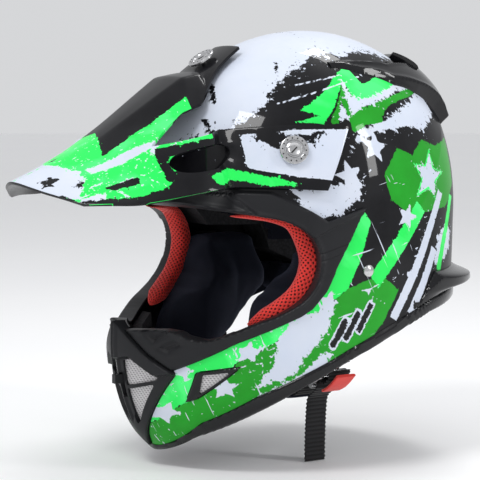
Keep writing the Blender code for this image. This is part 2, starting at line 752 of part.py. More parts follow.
def peak_washer(name, spot, normal):
    washer = rod(name, spot, normal, 5.0, 1.7, 0.7, 12)
    cut(washer, rod("cutter", spot, normal, 3.2, 8, -8, 8))
    return finish(washer, GLOSS_BLACK, 0.7)


def peak_nut(name, spot, normal):
    """The nut behind the shell, with the head of its shank clear of the foam."""
    nut = rod(name, spot, normal, 6.5, -SHELL_THICKNESS - 2.6, -SHELL_THICKNESS - 6.6, 6)
    cut(nut, rod("cutter", spot, normal, 2.8, 0, -20, 12))
    return finish(nut, STEEL, 0.35, 1.0)


def peak_fasteners():
    places = [(label, *pivot_spot(side, 0)) for label, side in SIDES] + [("centre", *centre_spot(0))]
    for label, spot, normal in places:
        lift = CENTRE_LIFT if label == "centre" else SIDE_LIFT
        peak_screw(f"peak_screw_{label}", spot, normal, lift)
        peak_washer(f"peak_washer_{label}", spot, normal)
        peak_nut(f"peak_nut_{label}", spot, normal)


# ---- Chin strap ----

def buckle_point(along, out):
    """A point of the buckle: along runs up the short strap, out is towards the wearer's neck."""
    return (BUCKLE[0] + PULL[0] * along - PULL[1] * out, BUCKLE[1] + PULL[1] * along + PULL[0] * out)


def smooth_path(points, spacing):
    """Points along a Catmull-Rom curve through the given ones, about this far apart."""
    result = []
    for i in range(len(points) - 1):
        p0, p1 = points[max(i - 1, 0)], points[i]
        p2, p3 = points[i + 1], points[min(i + 2, len(points) - 1)]
        steps = max(1, round(math.dist(p1, p2) / spacing))
        for k in range(steps):
            t = k / steps
            result.append(tuple(
                0.5 * (2 * b + (c - a) * t + (2 * a - 5 * b + 4 * c - d) * t**2 + (3 * b - a - 3 * c + d) * t**3)
                for a, b, c, d in zip(p0, p1, p2, p3)
            ))
    return result + [points[-1]]


def webbing(name, path, spacing=11.0, width=WEB_WIDTH, thickness=WEB_THICKNESS):
    """A flat strap that follows a path in the XZ plane, its width along Y."""
    path = smooth_path(path, spacing)
    top, bottom = [], []
    for i, (x, z) in enumerate(path):
        ahead, behind = path[min(i + 1, len(path) - 1)], path[max(i - 1, 0)]
        run = Vector((ahead[0] - behind[0], ahead[1] - behind[1])).normalized()
        shift = Vector((-run.y, run.x)) * thickness / 2
        top.append((x + shift.x, z + shift.y))
        bottom.append((x - shift.x, z - shift.y))
    outline = top + bottom[::-1]
    low, high = STRAP_Y - width / 2, STRAP_Y + width / 2
    near, far = [(x, low, z) for x, z in outline], [(x, high, z) for x, z in outline]
    count, half = len(outline), len(path)
    faces = [(i, (i + 1) % count, (i + 1) % count + count, i + count) for i in range(count)]
    for shift in (0, count):
        for i in range(half - 1):
            faces.append((shift + i, shift + i + 1, shift + count - 2 - i, shift + count - 1 - i))
    return make_object(name, near + far, faces)


SHORT_STRAP = [
    (STRAP_X, -29), (STRAP_X + 0.5, -43), (STRAP_X - 1.5, -76), (106.5, -97), buckle_point(26, 2.5),
    buckle_point(16, 4.6), buckle_point(9.5, 4.2), buckle_point(5.8, 1.2), buckle_point(4.6, -2.5),
    buckle_point(5.8, -6.4), buckle_point(9.5, -9.2), buckle_point(15, -8.6), buckle_point(22, -4.2),
]
LONG_STRAP = [
    (-STRAP_X, -29), (-STRAP_X - 0.5, -43), (-STRAP_X + 1.5, -76), (-106, -99), (-90, -121), (-60, -137),
    (-22, -148), (14, -152), (42, -148.5), buckle_point(-13, 5.2), buckle_point(-5, 4.2),
    buckle_point(0, 0.5), buckle_point(0.5, -4), buckle_point(-2.5, -7.8), buckle_point(-9, -9.2),
    buckle_point(-15.5, -9.8), buckle_point(-20, -12.8), (57.5, -164), (56.5, -182), (56, -201),
]


def chin_strap_short():
    strap = webbing("chin_strap_short", SHORT_STRAP)
    cut(strap, rod("cutter", (STRAP_X, *RIVET), (1, 0, 0), RIVET_HOLE, 12, -12, 12))
    return finish(strap, FABRIC_BLACK, 0.8)


def chin_strap_long():
    strap = webbing("chin_strap_long", LONG_STRAP)
    cut(strap, rod("cutter", (-STRAP_X, *RIVET), (-1, 0, 0), RIVET_HOLE, 12, -12, 12))
    return finish(strap, FABRIC_BLACK, 0.8)


def ring_path():
    """The wire's middle as (along, across): a straight bar, then a bow towards the long strap."""
    path = [(RING_BAR, -RING_HALF + 2 * RING_HALF * k / 4) for k in range(5)]
    for k in range(1, 10):
        turn = math.pi * k / 10
        along = RING_BAR - (RING_BAR + RING_REACH) * math.sin(turn) ** 0.45
        path.append((along, RING_HALF * math.cos(turn)))
    return path


def d_ring(name, out):
    """A D-shaped wire ring, whose bar lies in the short strap's loop."""
    centre = ring_path()
    rings = []
    count = len(centre)
    for i, (along, across) in enumerate(centre):
        run = Vector(centre[(i + 1) % count]) - Vector(centre[i - 1])
        run.normalize()
        ring = []
        for k in range(6):
            angle = math.pi * k / 3
            aside = RING_WIRE * math.cos(angle)
            x, z = buckle_point(along + run.y * aside, out + RING_WIRE * math.sin(angle))
            ring.append((x, STRAP_Y + across - run.x * aside, z))
        rings.append(ring)
    points = [p for ring in rings for p in ring]
    faces = []
    for i in range(count):
        for k in range(6):
            a, b = i * 6 + k, i * 6 + (k + 1) % 6
            c, d = (i + 1) % count * 6 + (k + 1) % 6, (i + 1) % count * 6 + k
            faces.append((a, b, c, d))
    return finish(make_object(name, points, faces), STEEL, 0.25, 1.0)


def pull_tab():
    """The red tab that lifts the rings to let the strap slip."""
    path = [buckle_point(2.5, -12.6), buckle_point(10, -13.2), buckle_point(18, -12.4), buckle_point(27, -10.6)]
    tab = webbing("pull_tab", path, 6, *TAB_SIZE)
    x, z = buckle_point(*TAB_HINGE)
    set_origin(tab, (x, STRAP_Y, z))
    return finish(tab, RED, 0.6)


def strap_sleeve():
    """The padded sleeve on the long strap, open along its lower face where the strap lies in it."""
    path = LONG_STRAP[5:9]
    sleeve = webbing("strap_sleeve", path, 9, WEB_WIDTH + 7, 7)
    cut(sleeve, webbing("cutter", LONG_STRAP[4:10], 11, WEB_WIDTH + 0.8, WEB_THICKNESS + 0.8))
    return finish(sleeve, FABRIC_BLACK, 0.95)


def strap_fixings(label, side):
    x = width_at(*RIVET)
    rivet = rod(f"strap_rivet_{label}", (side * x, *RIVET), (side, 0, 0), 5.6, 2.4, 0.5, 20)
    fuse(rivet, rod("cutter", (side * x, *RIVET), (side, 0, 0), 2.2, 1, STRAP_X - x - 3.0, 12))
    finish(rivet, STEEL, 0.3, 1.0)
    y, z = RIVET
    near, far = sorted((side * ANCHOR[0], side * ANCHOR[1]))
    plate = block((near, y - 9, z - 12), (far, y + 7, z + 10))
    plate.name = f"strap_anchor_{label}"
    cut(plate, rod("cutter", (side * ANCHOR[0], *RIVET), (side, 0, 0), RIVET_HOLE, 10, -10, 12))
    finish(plate, STEEL, 0.4, 1.0)


def main():
    for obj in list(bpy.data.objects):
        bpy.data.objects.remove(obj, do_unlink=True)
    outer_shell()
    eps_liner()
    chin_eps()
    comfort_liner()
    neck_roll()
    eyeport_trim()
    base_trim()
    mouth_housing()
    mouth_shutter()
    mouth_filter()
    rear_spoiler()
    nape_spoiler()
    for label, side in SIDES:
        cheek_pad(label, side)
        cheek_mesh(label, side)
        cheek_snap(label, side)
        brow_vent(label, side)
        mouth_mesh(label, side)
        side_vent_frame(label, side)
        side_vent_mesh(label, side)
        rear_exhaust(label, side)
        strap_fixings(label, side)
    peak()
    peak_fasteners()
    chin_strap_short()
    chin_strap_long()
    d_ring("d_ring_inner", 0.2)
    d_ring("d_ring_outer", -4.2)
    pull_tab()
    strap_sleeve()


main()
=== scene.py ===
"""Motocross helmet: the visual model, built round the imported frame.

Outlines and offsets below are millimetres, and become metres when a mesh is made. The helmet faces -Y,
the wearer's left is +X and +Z is up. The origin is the middle of the wearer's head.
"""

import math

import bmesh
import bpy
import numpy as np
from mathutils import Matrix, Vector


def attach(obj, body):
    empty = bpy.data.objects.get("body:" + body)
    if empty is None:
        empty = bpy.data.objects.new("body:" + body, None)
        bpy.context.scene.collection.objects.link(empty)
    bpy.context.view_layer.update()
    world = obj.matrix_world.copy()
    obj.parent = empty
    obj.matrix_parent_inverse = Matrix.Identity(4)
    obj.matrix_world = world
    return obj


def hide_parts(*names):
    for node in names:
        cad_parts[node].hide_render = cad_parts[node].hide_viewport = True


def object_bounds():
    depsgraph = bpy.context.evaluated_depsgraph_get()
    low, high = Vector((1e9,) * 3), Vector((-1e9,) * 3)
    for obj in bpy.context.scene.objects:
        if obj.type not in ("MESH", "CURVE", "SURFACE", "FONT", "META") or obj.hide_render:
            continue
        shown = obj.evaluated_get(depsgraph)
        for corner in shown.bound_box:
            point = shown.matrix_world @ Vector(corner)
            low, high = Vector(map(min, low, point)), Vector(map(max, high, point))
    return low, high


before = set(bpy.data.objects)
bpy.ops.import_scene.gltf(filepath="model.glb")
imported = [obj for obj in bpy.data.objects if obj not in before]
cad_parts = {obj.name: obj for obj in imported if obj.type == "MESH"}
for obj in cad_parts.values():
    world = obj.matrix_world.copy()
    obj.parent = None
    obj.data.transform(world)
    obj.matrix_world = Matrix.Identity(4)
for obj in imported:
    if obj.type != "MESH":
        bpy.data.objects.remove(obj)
CAD_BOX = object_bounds()
MM = 0.001
SIDES = (("left", 1), ("right", -1))

# ---- The helmet's form, as in the CAD (mm, degrees) ----
HALF_WIDTH = 122.0
SHELL_THICKNESS = 3.2
PROFILE = [
    (-100, -215), (-124, -190), (-142, -168), (-157, -122), (-158, -85), (-152, -45), (-144, -5),
    (-132, 32), (-114, 69), (-88, 102.5), (-58, 122.5), (-28, 136), (5, 142), (42, 138.5), (84, 120),
    (114, 90), (131, 52), (137, 15), (136, -20), (134, -55), (132, -90), (110, -160), (20, -220), (-60, -240),
]
SECTIONS = [
    (0, 2.3, 1.7), (45, 2.15, 2.05), (90, 2.1, 2.1), (135, 2.1, 2.1), (180, 2.15, 2.1),
    (225, 2.5, 2.1), (270, 3.2, 2.3), (300, 2.8, 1.7), (330, 2.3, 1.35),
]
# Side outlines: (y, z)
PORT = [
    (-200, 12), (-138, 8), (-114, 4.5), (-100, 2), (-85, -1), (-72, -4.5), (-60.5, -11), (-52, -20),
    (-48.5, -33), (-51, -48), (-60.5, -62.5), (-77, -73.5), (-92, -80.5), (-108, -89), (-121, -94.5),
    (-131, -92.5), (-142, -88), (-200, -87),
]
PORT_TRIM = [
    (-200, 26), (-104, 19.5), (-81, 18.7), (-56, 4.2), (-43, -4.2), (-11.4, 5.7), (-24, -18.6),
    (-35, -37.6), (-44, -56.5), (-55, -70), (-64, -76), (-104, -96), (-139, -121), (-200, -121),
]
BASE_LINE = [
    (-200, -197), (-128, -189), (-117, -165), (-88, -142), (-56, -124.5), (-22, -107), (29, -85.5),
    (58, -75), (100, -68), (180, -66),
]
SIDE_VENT = [(-125.5, -119.5), (-100.5, -113.5), (-122.5, -140), (-128.5, -144)]
SIDE_VENT_WINDOW = [(-122.3, -121.6), (-106.5, -118.4), (-122.6, -137.4)]
# Front outlines: (x, z)
MOUTH_SHIELD = [(0, -84), (30, -109.5), (48.5, -121.5), (0, -184), (-48.5, -121.5), (-30, -109.5)]


def cycle(angle, knots):
    """A smooth closed curve through (degrees, value) knots."""
    xs = np.array([k[0] for k in knots], float)
    ys = np.array([k[1] for k in knots], float)
    xs = np.concatenate([xs[-2:] - 360, xs, xs[:2] + 360])
    ys = np.concatenate([ys[-2:], ys, ys[:2]])
    slope = np.zeros_like(xs)
    slope[1:-1] = (ys[2:] - ys[:-2]) / (xs[2:] - xs[:-2])
    angle = np.asarray(angle, float) % 360
    i = np.clip(np.searchsorted(xs, angle) - 1, 1, len(xs) - 3)
    span = xs[i + 1] - xs[i]
    s = (angle - xs[i]) / span
    rise = (2 * s**3 - 3 * s**2 + 1) * ys[i] + (3 * s**2 - 2 * s**3) * ys[i + 1]
    return rise + span * ((s**3 - 2 * s**2 + s) * slope[i] + (s**3 - s**2) * slope[i + 1])


def angle_of(y, z):
    return np.degrees(np.arctan2(z, -np.asarray(y, float))) % 360


RADII = sorted((float(angle_of(y, z)), math.hypot(y, z)) for y, z in PROFILE)
P_KNOTS = [(a, p) for a, p, _ in SECTIONS]
Q_KNOTS = [(a, q) for a, _, q in SECTIONS]


def form(angle, across, offset=0.0):
    """Points of the form: across is -1 at the right pole, 0 on the middle plane and 1 at the left pole."""
    radius = cycle(angle, RADII) + offset
    p, q = cycle(angle, P_KNOTS), cycle(angle, Q_KNOTS)
    reach = np.maximum(np.sin(np.pi / 2 * (1 - np.abs(across))), 0)
    x = np.sign(across) * (HALF_WIDTH + offset) * np.maximum(0, 1 - reach**p) ** (1 / q)
    a = np.radians(angle)
    return np.stack([x, -reach * radius * np.cos(a), reach * radius * np.sin(a)], -1)


def tangents(angle, across):
    """Change of place per degree of angle and per unit of across, and the outward normal."""
    turn, shift = 0.3, 0.006
    along = (form(angle + turn, across) - form(angle - turn, across)) / (2 * turn)
    over = (form(angle, across + shift) - form(angle, across - shift)) / (2 * shift)
    normal = np.cross(over, along)
    normal /= np.maximum(np.linalg.norm(normal, axis=-1, keepdims=True), 1e-9)
    return along, over, normal


def width_at(y, z, offset=0.0):
    """Half width of the form at a point of the side view."""
    angle = angle_of(y, z)
    reach = np.minimum(1.0, np.hypot(y, z) / (cycle(angle, RADII) + offset))
    p, q = cycle(angle, P_KNOTS), cycle(angle, Q_KNOTS)
    return (HALF_WIDTH + offset) * np.maximum(0, 1 - reach**p) ** (1 / q)


def on_form(y, z, side=1):
    """A point on the form's side and the outward normal there, as vectors in mm."""
    step = 0.5
    slope_y = float(width_at(y + step, z) - width_at(y - step, z)) / (2 * step)
    slope_z = float(width_at(y, z + step) - width_at(y, z - step)) / (2 * step)
    normal = Vector((side, -slope_y, -slope_z)).normalized()
    return Vector((side * width_at(y, z), y, z)), normal


# ---- Distances inside outlines ----

def inside(u, v, outline):
    """Distance to the outline's edge at (u, v), positive inside."""
    u, v = np.asarray(u, float), np.asarray(v, float)
    best = np.full(u.shape, 1e9)
    odd = np.zeros(u.shape, bool)
    for (au, av), (bu, bv) in zip(outline, outline[1:] + outline[:1]):
        du, dv = bu - au, bv - av
        t = np.clip(((u - au) * du + (v - av) * dv) / max(du * du + dv * dv, 1e-12), 0, 1)
        best = np.minimum(best, (u - au - t * du) ** 2 + (v - av - t * dv) ** 2)
        crosses = (av > v) != (bv > v)
        with np.errstate(divide="ignore", invalid="ignore"):
            odd ^= crosses & (u < (v - av) * du / np.where(dv == 0, 1e-12, dv) + au)
    return np.where(odd, 1, -1) * np.sqrt(best)


def near_line(u, v, line):
    """Distance from an open line of points."""
    best = np.full(np.shape(u), 1e9)
    for (au, av), (bu, bv) in zip(line, line[1:]):
        du, dv = bu - au, bv - av
        t = np.clip(((u - au) * du + (v - av) * dv) / max(du * du + dv * dv, 1e-12), 0, 1)
        best = np.minimum(best, np.hypot(u - au - t * du, v - av - t * dv))
    return best


def curve(points, steps=4, closed=True):
    """A smooth line through the points."""
    count = len(points)
    result = []
    for i in range(count if closed else count - 1):
        if closed:
            ids = [(i + k) % count for k in (-1, 0, 1, 2)]
        else:
            ids = [max(i - 1, 0), i, i + 1, min(i + 2, count - 1)]
        a, b, c, d = (np.array(points[k], float) for k in ids)
        for k in range(steps):
            t = k / steps
            bend = (2 * a - 5 * b + 4 * c - d) * t**2 + (3 * b - a - 3 * c + d) * t**3
            result.append(tuple(0.5 * (2 * b + (c - a) * t + bend)))
    return result if closed else result + [tuple(points[-1])]


def step_up(value, low, high):
    t = np.clip((value - low) / (high - low), 0, 1)
    return t * t * (3 - 2 * t)


def side_of(points, outline):
    return inside(points[..., 1], points[..., 2], outline)


def front_of(points, outline):
    return inside(points[..., 0], points[..., 2], outline)


def read_off(line, y):
    """The line's value at each y, from its (y, value) points."""
    return np.interp(y, [p[0] for p in line], [p[1] for p in line])


def base_height(y):
    """Height of the shell's lower edge at each y."""
    return read_off(BASE_LINE, y)


PORT_CURVE = curve(PORT)


# ---- Meshes ----

def linked(name, data):
    obj = bpy.data.objects.new(name, data)
    bpy.context.scene.collection.objects.link(obj)
    return obj


def make(name, points, faces, smooth_angle=40.0):
    """A piece from points in mm, with its normals outwards and its sharp edges marked."""
    mesh = bpy.data.meshes.new(name)
    mesh.from_pydata((np.asarray(points, float) * MM).tolist(), [], [tuple(int(i) for i in f) for f in faces])
    work = bmesh.new()
    work.from_mesh(mesh)
    bmesh.ops.remove_doubles(work, verts=work.verts, dist=0.02 * MM)
    bmesh.ops.recalc_face_normals(work, faces=work.faces)
    work.to_mesh(mesh)
    work.free()
    obj = linked(name, mesh)
    shade(obj, smooth_angle)
    return obj


def shade(obj, smooth_angle):
    obj.data.shade_smooth()
    obj.data.set_sharp_from_angle(angle=math.radians(smooth_angle))


def settle(obj):
    """Replaces the object's mesh with what its modifiers make of it."""
    graph = bpy.context.evaluated_depsgraph_get()
    mesh = bpy.data.meshes.new_from_object(obj.evaluated_get(graph))
    obj.modifiers.clear()
    obj.data = mesh


def vertices(obj):
    """The vertices' places in mm."""
    return np.array([v.co for v in obj.data.vertices]) / MM


def move_to(obj, points):
    obj.data.vertices.foreach_set("co", (points * MM).ravel())
    obj.data.update()


def finish_piece(obj, material, body, stands_for=()):
    """Gives a piece its material and body, and hides the CAD nodes that it stands for."""
    obj.data.materials.clear()
    obj.data.materials.append(material)
    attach(obj, body)
    if stands_for:
        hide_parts(*stands_for)


def between(top, bottom, quads):
    """All points and faces of the solid between two layers that share these quads."""
    ends = np.concatenate([quads[:, [a, (a + 1) % 4]] for a in range(4)])
    _, first, count = np.unique(np.sort(ends, 1), axis=0, return_index=True, return_counts=True)
    rim = ends[first[count == 1]]
    n = len(top)
    walls = np.stack([rim[:, 1], rim[:, 0], rim[:, 0] + n, rim[:, 1] + n], 1)
    return np.concatenate([top, bottom]), np.concatenate([quads, quads[:, ::-1] + n, walls])


def lanes_on(side, low, high):
    """A range of across on one side of the form."""
    return (low, high) if side > 0 else (-high, -low)


# How near a layer's points come to the poles, and how often they are moved towards its edge
POLE = 0.999
EDGE_PASSES = 5
LONGEST_MOVE = 4


def skin(name, depth, height, floor=-2.0, around=(0, 360), across=(-1, 1), pitch=0.7, smooth_angle=40.0):
    """A layer over the form where depth(points) is positive, raised by height(points, depth).

    floor is the height of its underside, or a function of the points. Points just outside slide along
    the form to the layer's edge, so that its outline is clean."""
    whole = around[1] - around[0] >= 360
    rows = int(round((around[1] - around[0]) / pitch))
    turns = np.linspace(*around, rows, endpoint=not whole)
    lanes = np.linspace(*across, int(round((across[1] - across[0]) * 80 / pitch * 0.8)) | 1)
    lanes = np.clip(lanes, -POLE, POLE)
    angle, lane = (g.ravel() for g in np.meshgrid(turns, lanes, indexing="ij"))
    points = form(angle, lane)
    inner = depth(points)
    wide = len(lanes)
    i, k = np.meshgrid(np.arange(rows if whole else rows - 1), np.arange(wide - 1), indexing="ij")
    i, k = i.ravel(), k.ravel()
    ahead = (i + 1) % rows
    quads = np.stack([i * wide + k, ahead * wide + k, ahead * wide + k + 1, i * wide + k + 1], 1)
    quads = quads[(inner[quads] > 0).any(1)]
    used = np.unique(quads)
    move = used[inner[used] < 0]
    step_a, step_b = 0.02, 0.0004
    for _ in range(EDGE_PASSES):
        along, over, _ = tangents(angle[move], lane[move])
        here = depth(form(angle[move], lane[move]))
        slope_a = (depth(form(angle[move] + step_a, lane[move])) - here) / step_a
        slope_b = (depth(form(angle[move], lane[move] + step_b)) - here) / step_b
        size_a = np.maximum((along**2).sum(1), 1e-6)
        size_b = np.maximum((over**2).sum(1), 1e-6)
        strength = slope_a**2 / size_a + slope_b**2 / size_b
        push = np.clip(-here / np.maximum(strength, 0.2), -LONGEST_MOVE, LONGEST_MOVE)
        angle[move] += push * slope_a / size_a
        lane[move] = np.clip(lane[move] + push * slope_b / size_b, -POLE, POLE)
    remap = np.full(len(angle), -1)
    remap[used] = np.arange(len(used))
    angle, lane, quads = angle[used], lane[used], remap[quads]
    base = form(angle, lane)
    normal = tangents(angle, lane)[2]
    inner = np.maximum(depth(base), 0)
    top = base + normal * np.asarray(height(base, inner))[:, None]
    under = floor(base) if callable(floor) else np.full(len(base), floor)
    bottom = base + normal * under[:, None]
    return make(name, *between(top, bottom, quads), smooth_angle)


def rounded_edge(depth, rise, radius):
    """Height of a moulding whose edge is rounded to this radius."""
    inner = np.clip(depth, 0, radius)
    return rise - radius + np.sqrt(np.maximum(radius**2 - (radius - inner) ** 2, 0))


# ---- Materials ----

BRIGHT_GREEN = (0.022, 0.84, 0.115)
LIGHT_GREEN = (0.075, 0.98, 0.21)
DARK_GREEN = (0.012, 0.30, 0.014)
LAVENDER = (0.60, 0.655, 0.77)
INK = (0.0045, 0.0045, 0.006)


class Surface:
    """A procedural material, built up node by node. Coordinates are the object's own, in metres."""

    def __init__(self, name, roughness=0.5, metallic=0.0, **sockets):
        self.material = bpy.data.materials.new(name)
        self.material.use_nodes = True
        self.tree = self.material.node_tree
        self.shader = self.tree.nodes["Principled BSDF"]
        self.place = self.add("ShaderNodeTexCoord").outputs["Object"]
        self.shader.inputs["Roughness"].default_value = roughness
        self.shader.inputs["Metallic"].default_value = metallic
        for key, value in sockets.items():
            self.shader.inputs[key.replace("_", " ")].default_value = value

    def add(self, kind, **settings):
        node = self.tree.nodes.new(kind)
        for key, value in settings.items():
            setattr(node, key, value)
        return node

    def feed(self, socket, value):
        if isinstance(value, bpy.types.NodeSocket):
            self.tree.links.new(value, socket)
        elif isinstance(value, tuple) and len(value) == 3 and socket.type == "RGBA":
            socket.default_value = (*value, 1)
        else:
            socket.default_value = value

    def math(self, operation, a, b=0.0, c=0.0):
        node = self.add("ShaderNodeMath", operation=operation)
        for socket, value in zip(node.inputs, (a, b, c)):
            self.feed(socket, value)
        return node.outputs[0]

    def mapped(self, scale=(1, 1, 1), turn=(0, 0, 0)):
        """Coordinates turned by these degrees and then scaled."""
        node = self.add("ShaderNodeMapping", vector_type="POINT")
        turned = self.add("ShaderNodeMapping", vector_type="POINT")
        turned.inputs["Rotation"].default_value = [math.radians(t) for t in turn]
        self.tree.links.new(self.place, turned.inputs["Vector"])
        self.tree.links.new(turned.outputs[0], node.inputs["Vector"])
        node.inputs["Scale"].default_value = scale
        return node.outputs[0]

    def noise(self, scale, detail=2.0, roughness=0.5, place=None):
        node = self.add("ShaderNodeTexNoise")
        self.feed(node.inputs["Vector"], place or self.place)
        node.inputs["Scale"].default_value = scale
        node.inputs["Detail"].default_value = detail
        node.inputs["Roughness"].default_value = roughness
        return node.outputs["Fac"]

    def cells(self, scale):
        node = self.add("ShaderNodeTexVoronoi")
        self.feed(node.inputs["Vector"], self.place)
        node.inputs["Scale"].default_value = scale
        return node.outputs["Distance"]

    def attribute(self, name):
        return self.add("ShaderNodeAttribute", attribute_name=name).outputs["Fac"]

    def ramp(self, value, low, high, to_low=0.0, to_high=1.0):
        node = self.add("ShaderNodeMapRange", clamp=True)
        for key, given in zip(("Value", "From Min", "From Max", "To Min", "To Max"),
                              (value, low, high, to_low, to_high)):
            self.feed(node.inputs[key], given)
        return node.outputs[0]

    def mix(self, factor, a, b):
        node = self.add("ShaderNodeMix", data_type="RGBA")
        self.feed(node.inputs[0], factor)
        self.feed(node.inputs[6], a)
        self.feed(node.inputs[7], b)
        return node.outputs[2]

    def colour(self, value):
        self.feed(self.shader.inputs["Base Color"], value)

    def rough(self, value):
        self.feed(self.shader.inputs["Roughness"], value)

    def bump(self, height, depth_mm, strength=1.0):
        """Adds fine relief, whose height socket runs from 0 to 1 over this many millimetres."""
        node = self.add("ShaderNodeBump")
        node.inputs["Distance"].default_value = depth_mm * MM
        node.inputs["Strength"].default_value = strength
        self.feed(node.inputs["Height"], height)
        before = self.shader.inputs["Normal"].links
        if before:
            self.tree.links.new(before[0].from_socket, node.inputs["Normal"])
        self.tree.links.new(node.outputs[0], self.shader.inputs["Normal"])

    def torn(self, name, reach, spatter, turn=40):
        """0 to 1 across the torn edge of a layer whose attribute holds the depth inside it, in mm."""
        drawn_out = self.mapped((1, 0.35, 1), (turn, 0, 0))
        ragged = self.math("SUBTRACT", self.noise(190, 7, 0.72, drawn_out), 0.5)
        specks = self.math("SUBTRACT", self.noise(330, 3, 0.6), 0.5)
        cubed = self.math("MULTIPLY", specks, self.math("MULTIPLY", specks, specks))
        depth = self.math("MULTIPLY_ADD", ragged, reach * 2, self.attribute(name))
        depth = self.math("MULTIPLY_ADD", cubed, spatter * 40, depth)
        return self.ramp(depth, -0.12, 0.12)


def painted(name, layers):
    """Printed graphics under a clear coat: (attribute, tint, ragged reach, spatter) layers over black ink."""
    paint = Surface(name, 0.4, Coat_Weight=0.32, Coat_Roughness=0.04, Specular_IOR_Level=0.06)
    mottle = paint.noise(26, 4, 0.6)
    streaky = paint.noise(40, 3, 0.5, paint.mapped((1, 0.3, 1), (40, 0, 0)))
    tints = {
        "ink": paint.mix(paint.ramp(mottle, 0.42, 0.7), INK, (0.010, 0.010, 0.012)),
        "white": paint.mix(paint.ramp(mottle, 0.3, 0.75), LAVENDER, (0.66, 0.70, 0.79)),
        "green": paint.mix(paint.ramp(streaky, 0.48, 0.62), BRIGHT_GREEN, LIGHT_GREEN),
        "dark": paint.mix(paint.ramp(mottle, 0.4, 0.7), DARK_GREEN, (0.014, 0.36, 0.02)),
    }
    shown = tints["ink"]
    for attribute, tint, reach, spatter in layers:
        if attribute == "scratched":
            covered = scratches(paint)
        else:
            covered = paint.torn(attribute, reach, spatter)
        shown = paint.mix(covered, shown, tints[tint])
    paint.colour(shown)
    paint.bump(paint.noise(900, 2), 0.02, 0.25)
    return paint.material


def scratches(paint):
    """Thin crossing strokes inside the scratched layer."""
    strokes = paint.noise(420, 2, 0.5, paint.mapped((1, 0.03, 1), (62, 0, 0)))
    crossed = paint.noise(420, 2, 0.5, paint.mapped((1, 0.03, 1), (-14, 0, 0)))
    lines = paint.math("MAXIMUM", paint.ramp(strokes, 0.675, 0.69), paint.ramp(crossed, 0.685, 0.70))
    return paint.math("MULTIPLY", lines, paint.ramp(paint.attribute("scratched"), -1.0, 3.0))


def satin(name, colour=(0.0125, 0.0128, 0.0145), roughness=0.42, grain=0.03):
    """Moulded plastic with a fine grain and a faint unevenness in its sheen."""
    plastic = Surface(name, roughness, Specular_IOR_Level=0.2)
    cloud = plastic.noise(35, 3)
    plastic.colour(plastic.mix(cloud, colour, tuple(c * 1.35 for c in colour)))
    plastic.rough(plastic.ramp(cloud, 0.3, 0.7, roughness - 0.05, roughness + 0.06))
    plastic.bump(plastic.noise(2600, 2), grain, 0.6)
    return plastic.material


def gloss(name, colour=(0.004, 0.004, 0.005), roughness=0.16):
    """Polished black moulding with faint flow marks."""
    plastic = Surface(name, roughness, Coat_Weight=0.4, Coat_Roughness=0.05, Specular_IOR_Level=0.12)
    flow = plastic.noise(30, 3, 0.5, plastic.mapped((1, 0.4, 1)))
    plastic.colour(plastic.mix(flow, colour, tuple(c * 1.8 for c in colour)))
    plastic.rough(plastic.ramp(flow, 0.35, 0.7, roughness, roughness + 0.07))
    plastic.bump(plastic.noise(700, 2), 0.012, 0.3)
    return plastic.material


def velour(name, colour=(0.004, 0.0045, 0.0075)):
    """Brushed lining fabric: a short matted pile with a soft sheen."""
    cloth = Surface(name, 0.95, Sheen_Weight=0.25, Sheen_Roughness=0.5, Specular_IOR_Level=0.1)
    cloth.shader.inputs["Sheen Tint"].default_value = (0.3, 0.34, 0.5, 1)
    pile = cloth.noise(1500, 4, 0.7)
    patch = cloth.noise(55, 3)
    shown = cloth.mix(pile, colour, tuple(c * 2.4 for c in colour))
    cloth.colour(cloth.mix(cloth.ramp(patch, 0.35, 0.75, 0, 0.5), shown, tuple(c * 3.2 for c in colour)))
    cloth.bump(pile, 0.35, 0.7)
    return cloth.material


def metal(name, colour=(0.62, 0.62, 0.63), roughness=0.2):
    """Turned and plated steel with fine brushing and small marks."""
    steel = Surface(name, roughness, 1.0)
    marks = steel.noise(900, 4, 0.7)
    steel.colour(steel.mix(steel.ramp(marks, 0.35, 0.75), colour, tuple(c * 0.72 for c in colour)))
    steel.rough(steel.ramp(steel.noise(120, 4), 0.3, 0.7, roughness - 0.06, roughness + 0.14))
    steel.bump(marks, 0.01, 0.5)
    return steel.material


def wire_mesh(name):
    """Fine woven grey mesh: light crossed wires, with painted shade darkening the gaps between them."""
    mesh = Surface(name, 0.45, 0.2)
    lines = mesh.add("ShaderNodeTexWave", wave_type="BANDS", bands_direction="DIAGONAL")
    across = mesh.add("ShaderNodeTexWave", wave_type="BANDS", bands_direction="Z")
    for node, scale in ((lines, 300.0), (across, 380.0)):
        mesh.tree.links.new(mesh.place, node.inputs["Vector"])
        node.inputs["Scale"].default_value = scale / 2
        node.inputs["Distortion"].default_value = 0.4
    woven = mesh.math("MAXIMUM", lines.outputs["Fac"], across.outputs["Fac"])
    # Painted shade: the gaps between the wires are coloured dark grey and the wires light grey.
    mesh.colour(mesh.mix(woven, (0.17, 0.165, 0.17), (0.62, 0.60, 0.61)))
    mesh.bump(woven, 0.25, 0.8)
    return mesh.material


def foam(name, colour=(0.02, 0.02, 0.022), bead=420.0):
    """Moulded foam with visible beads, coloured lighter on their tops and darker where they meet: painted
    shade between the beads.
    """
    block = Surface(name, 0.85, Specular_IOR_Level=0.2)
    beads = block.cells(bead)
    # Painted shade: each bead is lighter at its raised middle and darker at its low edges, following its bump.
    block.colour(block.mix(block.ramp(beads, 0.2, 0.7), tuple(c * 1.6 for c in colour), colour))
    block.bump(block.ramp(beads, 0.1, 0.7, 1, 0), 0.3, 0.6)
    return block.material


def rubber(name):
    block = Surface(name, 0.7, Specular_IOR_Level=0.25)
    dust = block.noise(500, 5, 0.7)
    block.colour(block.mix(dust, (0.008, 0.008, 0.008), (0.02, 0.02, 0.02)))
    block.bump(dust, 0.04, 0.6)
    return block.material


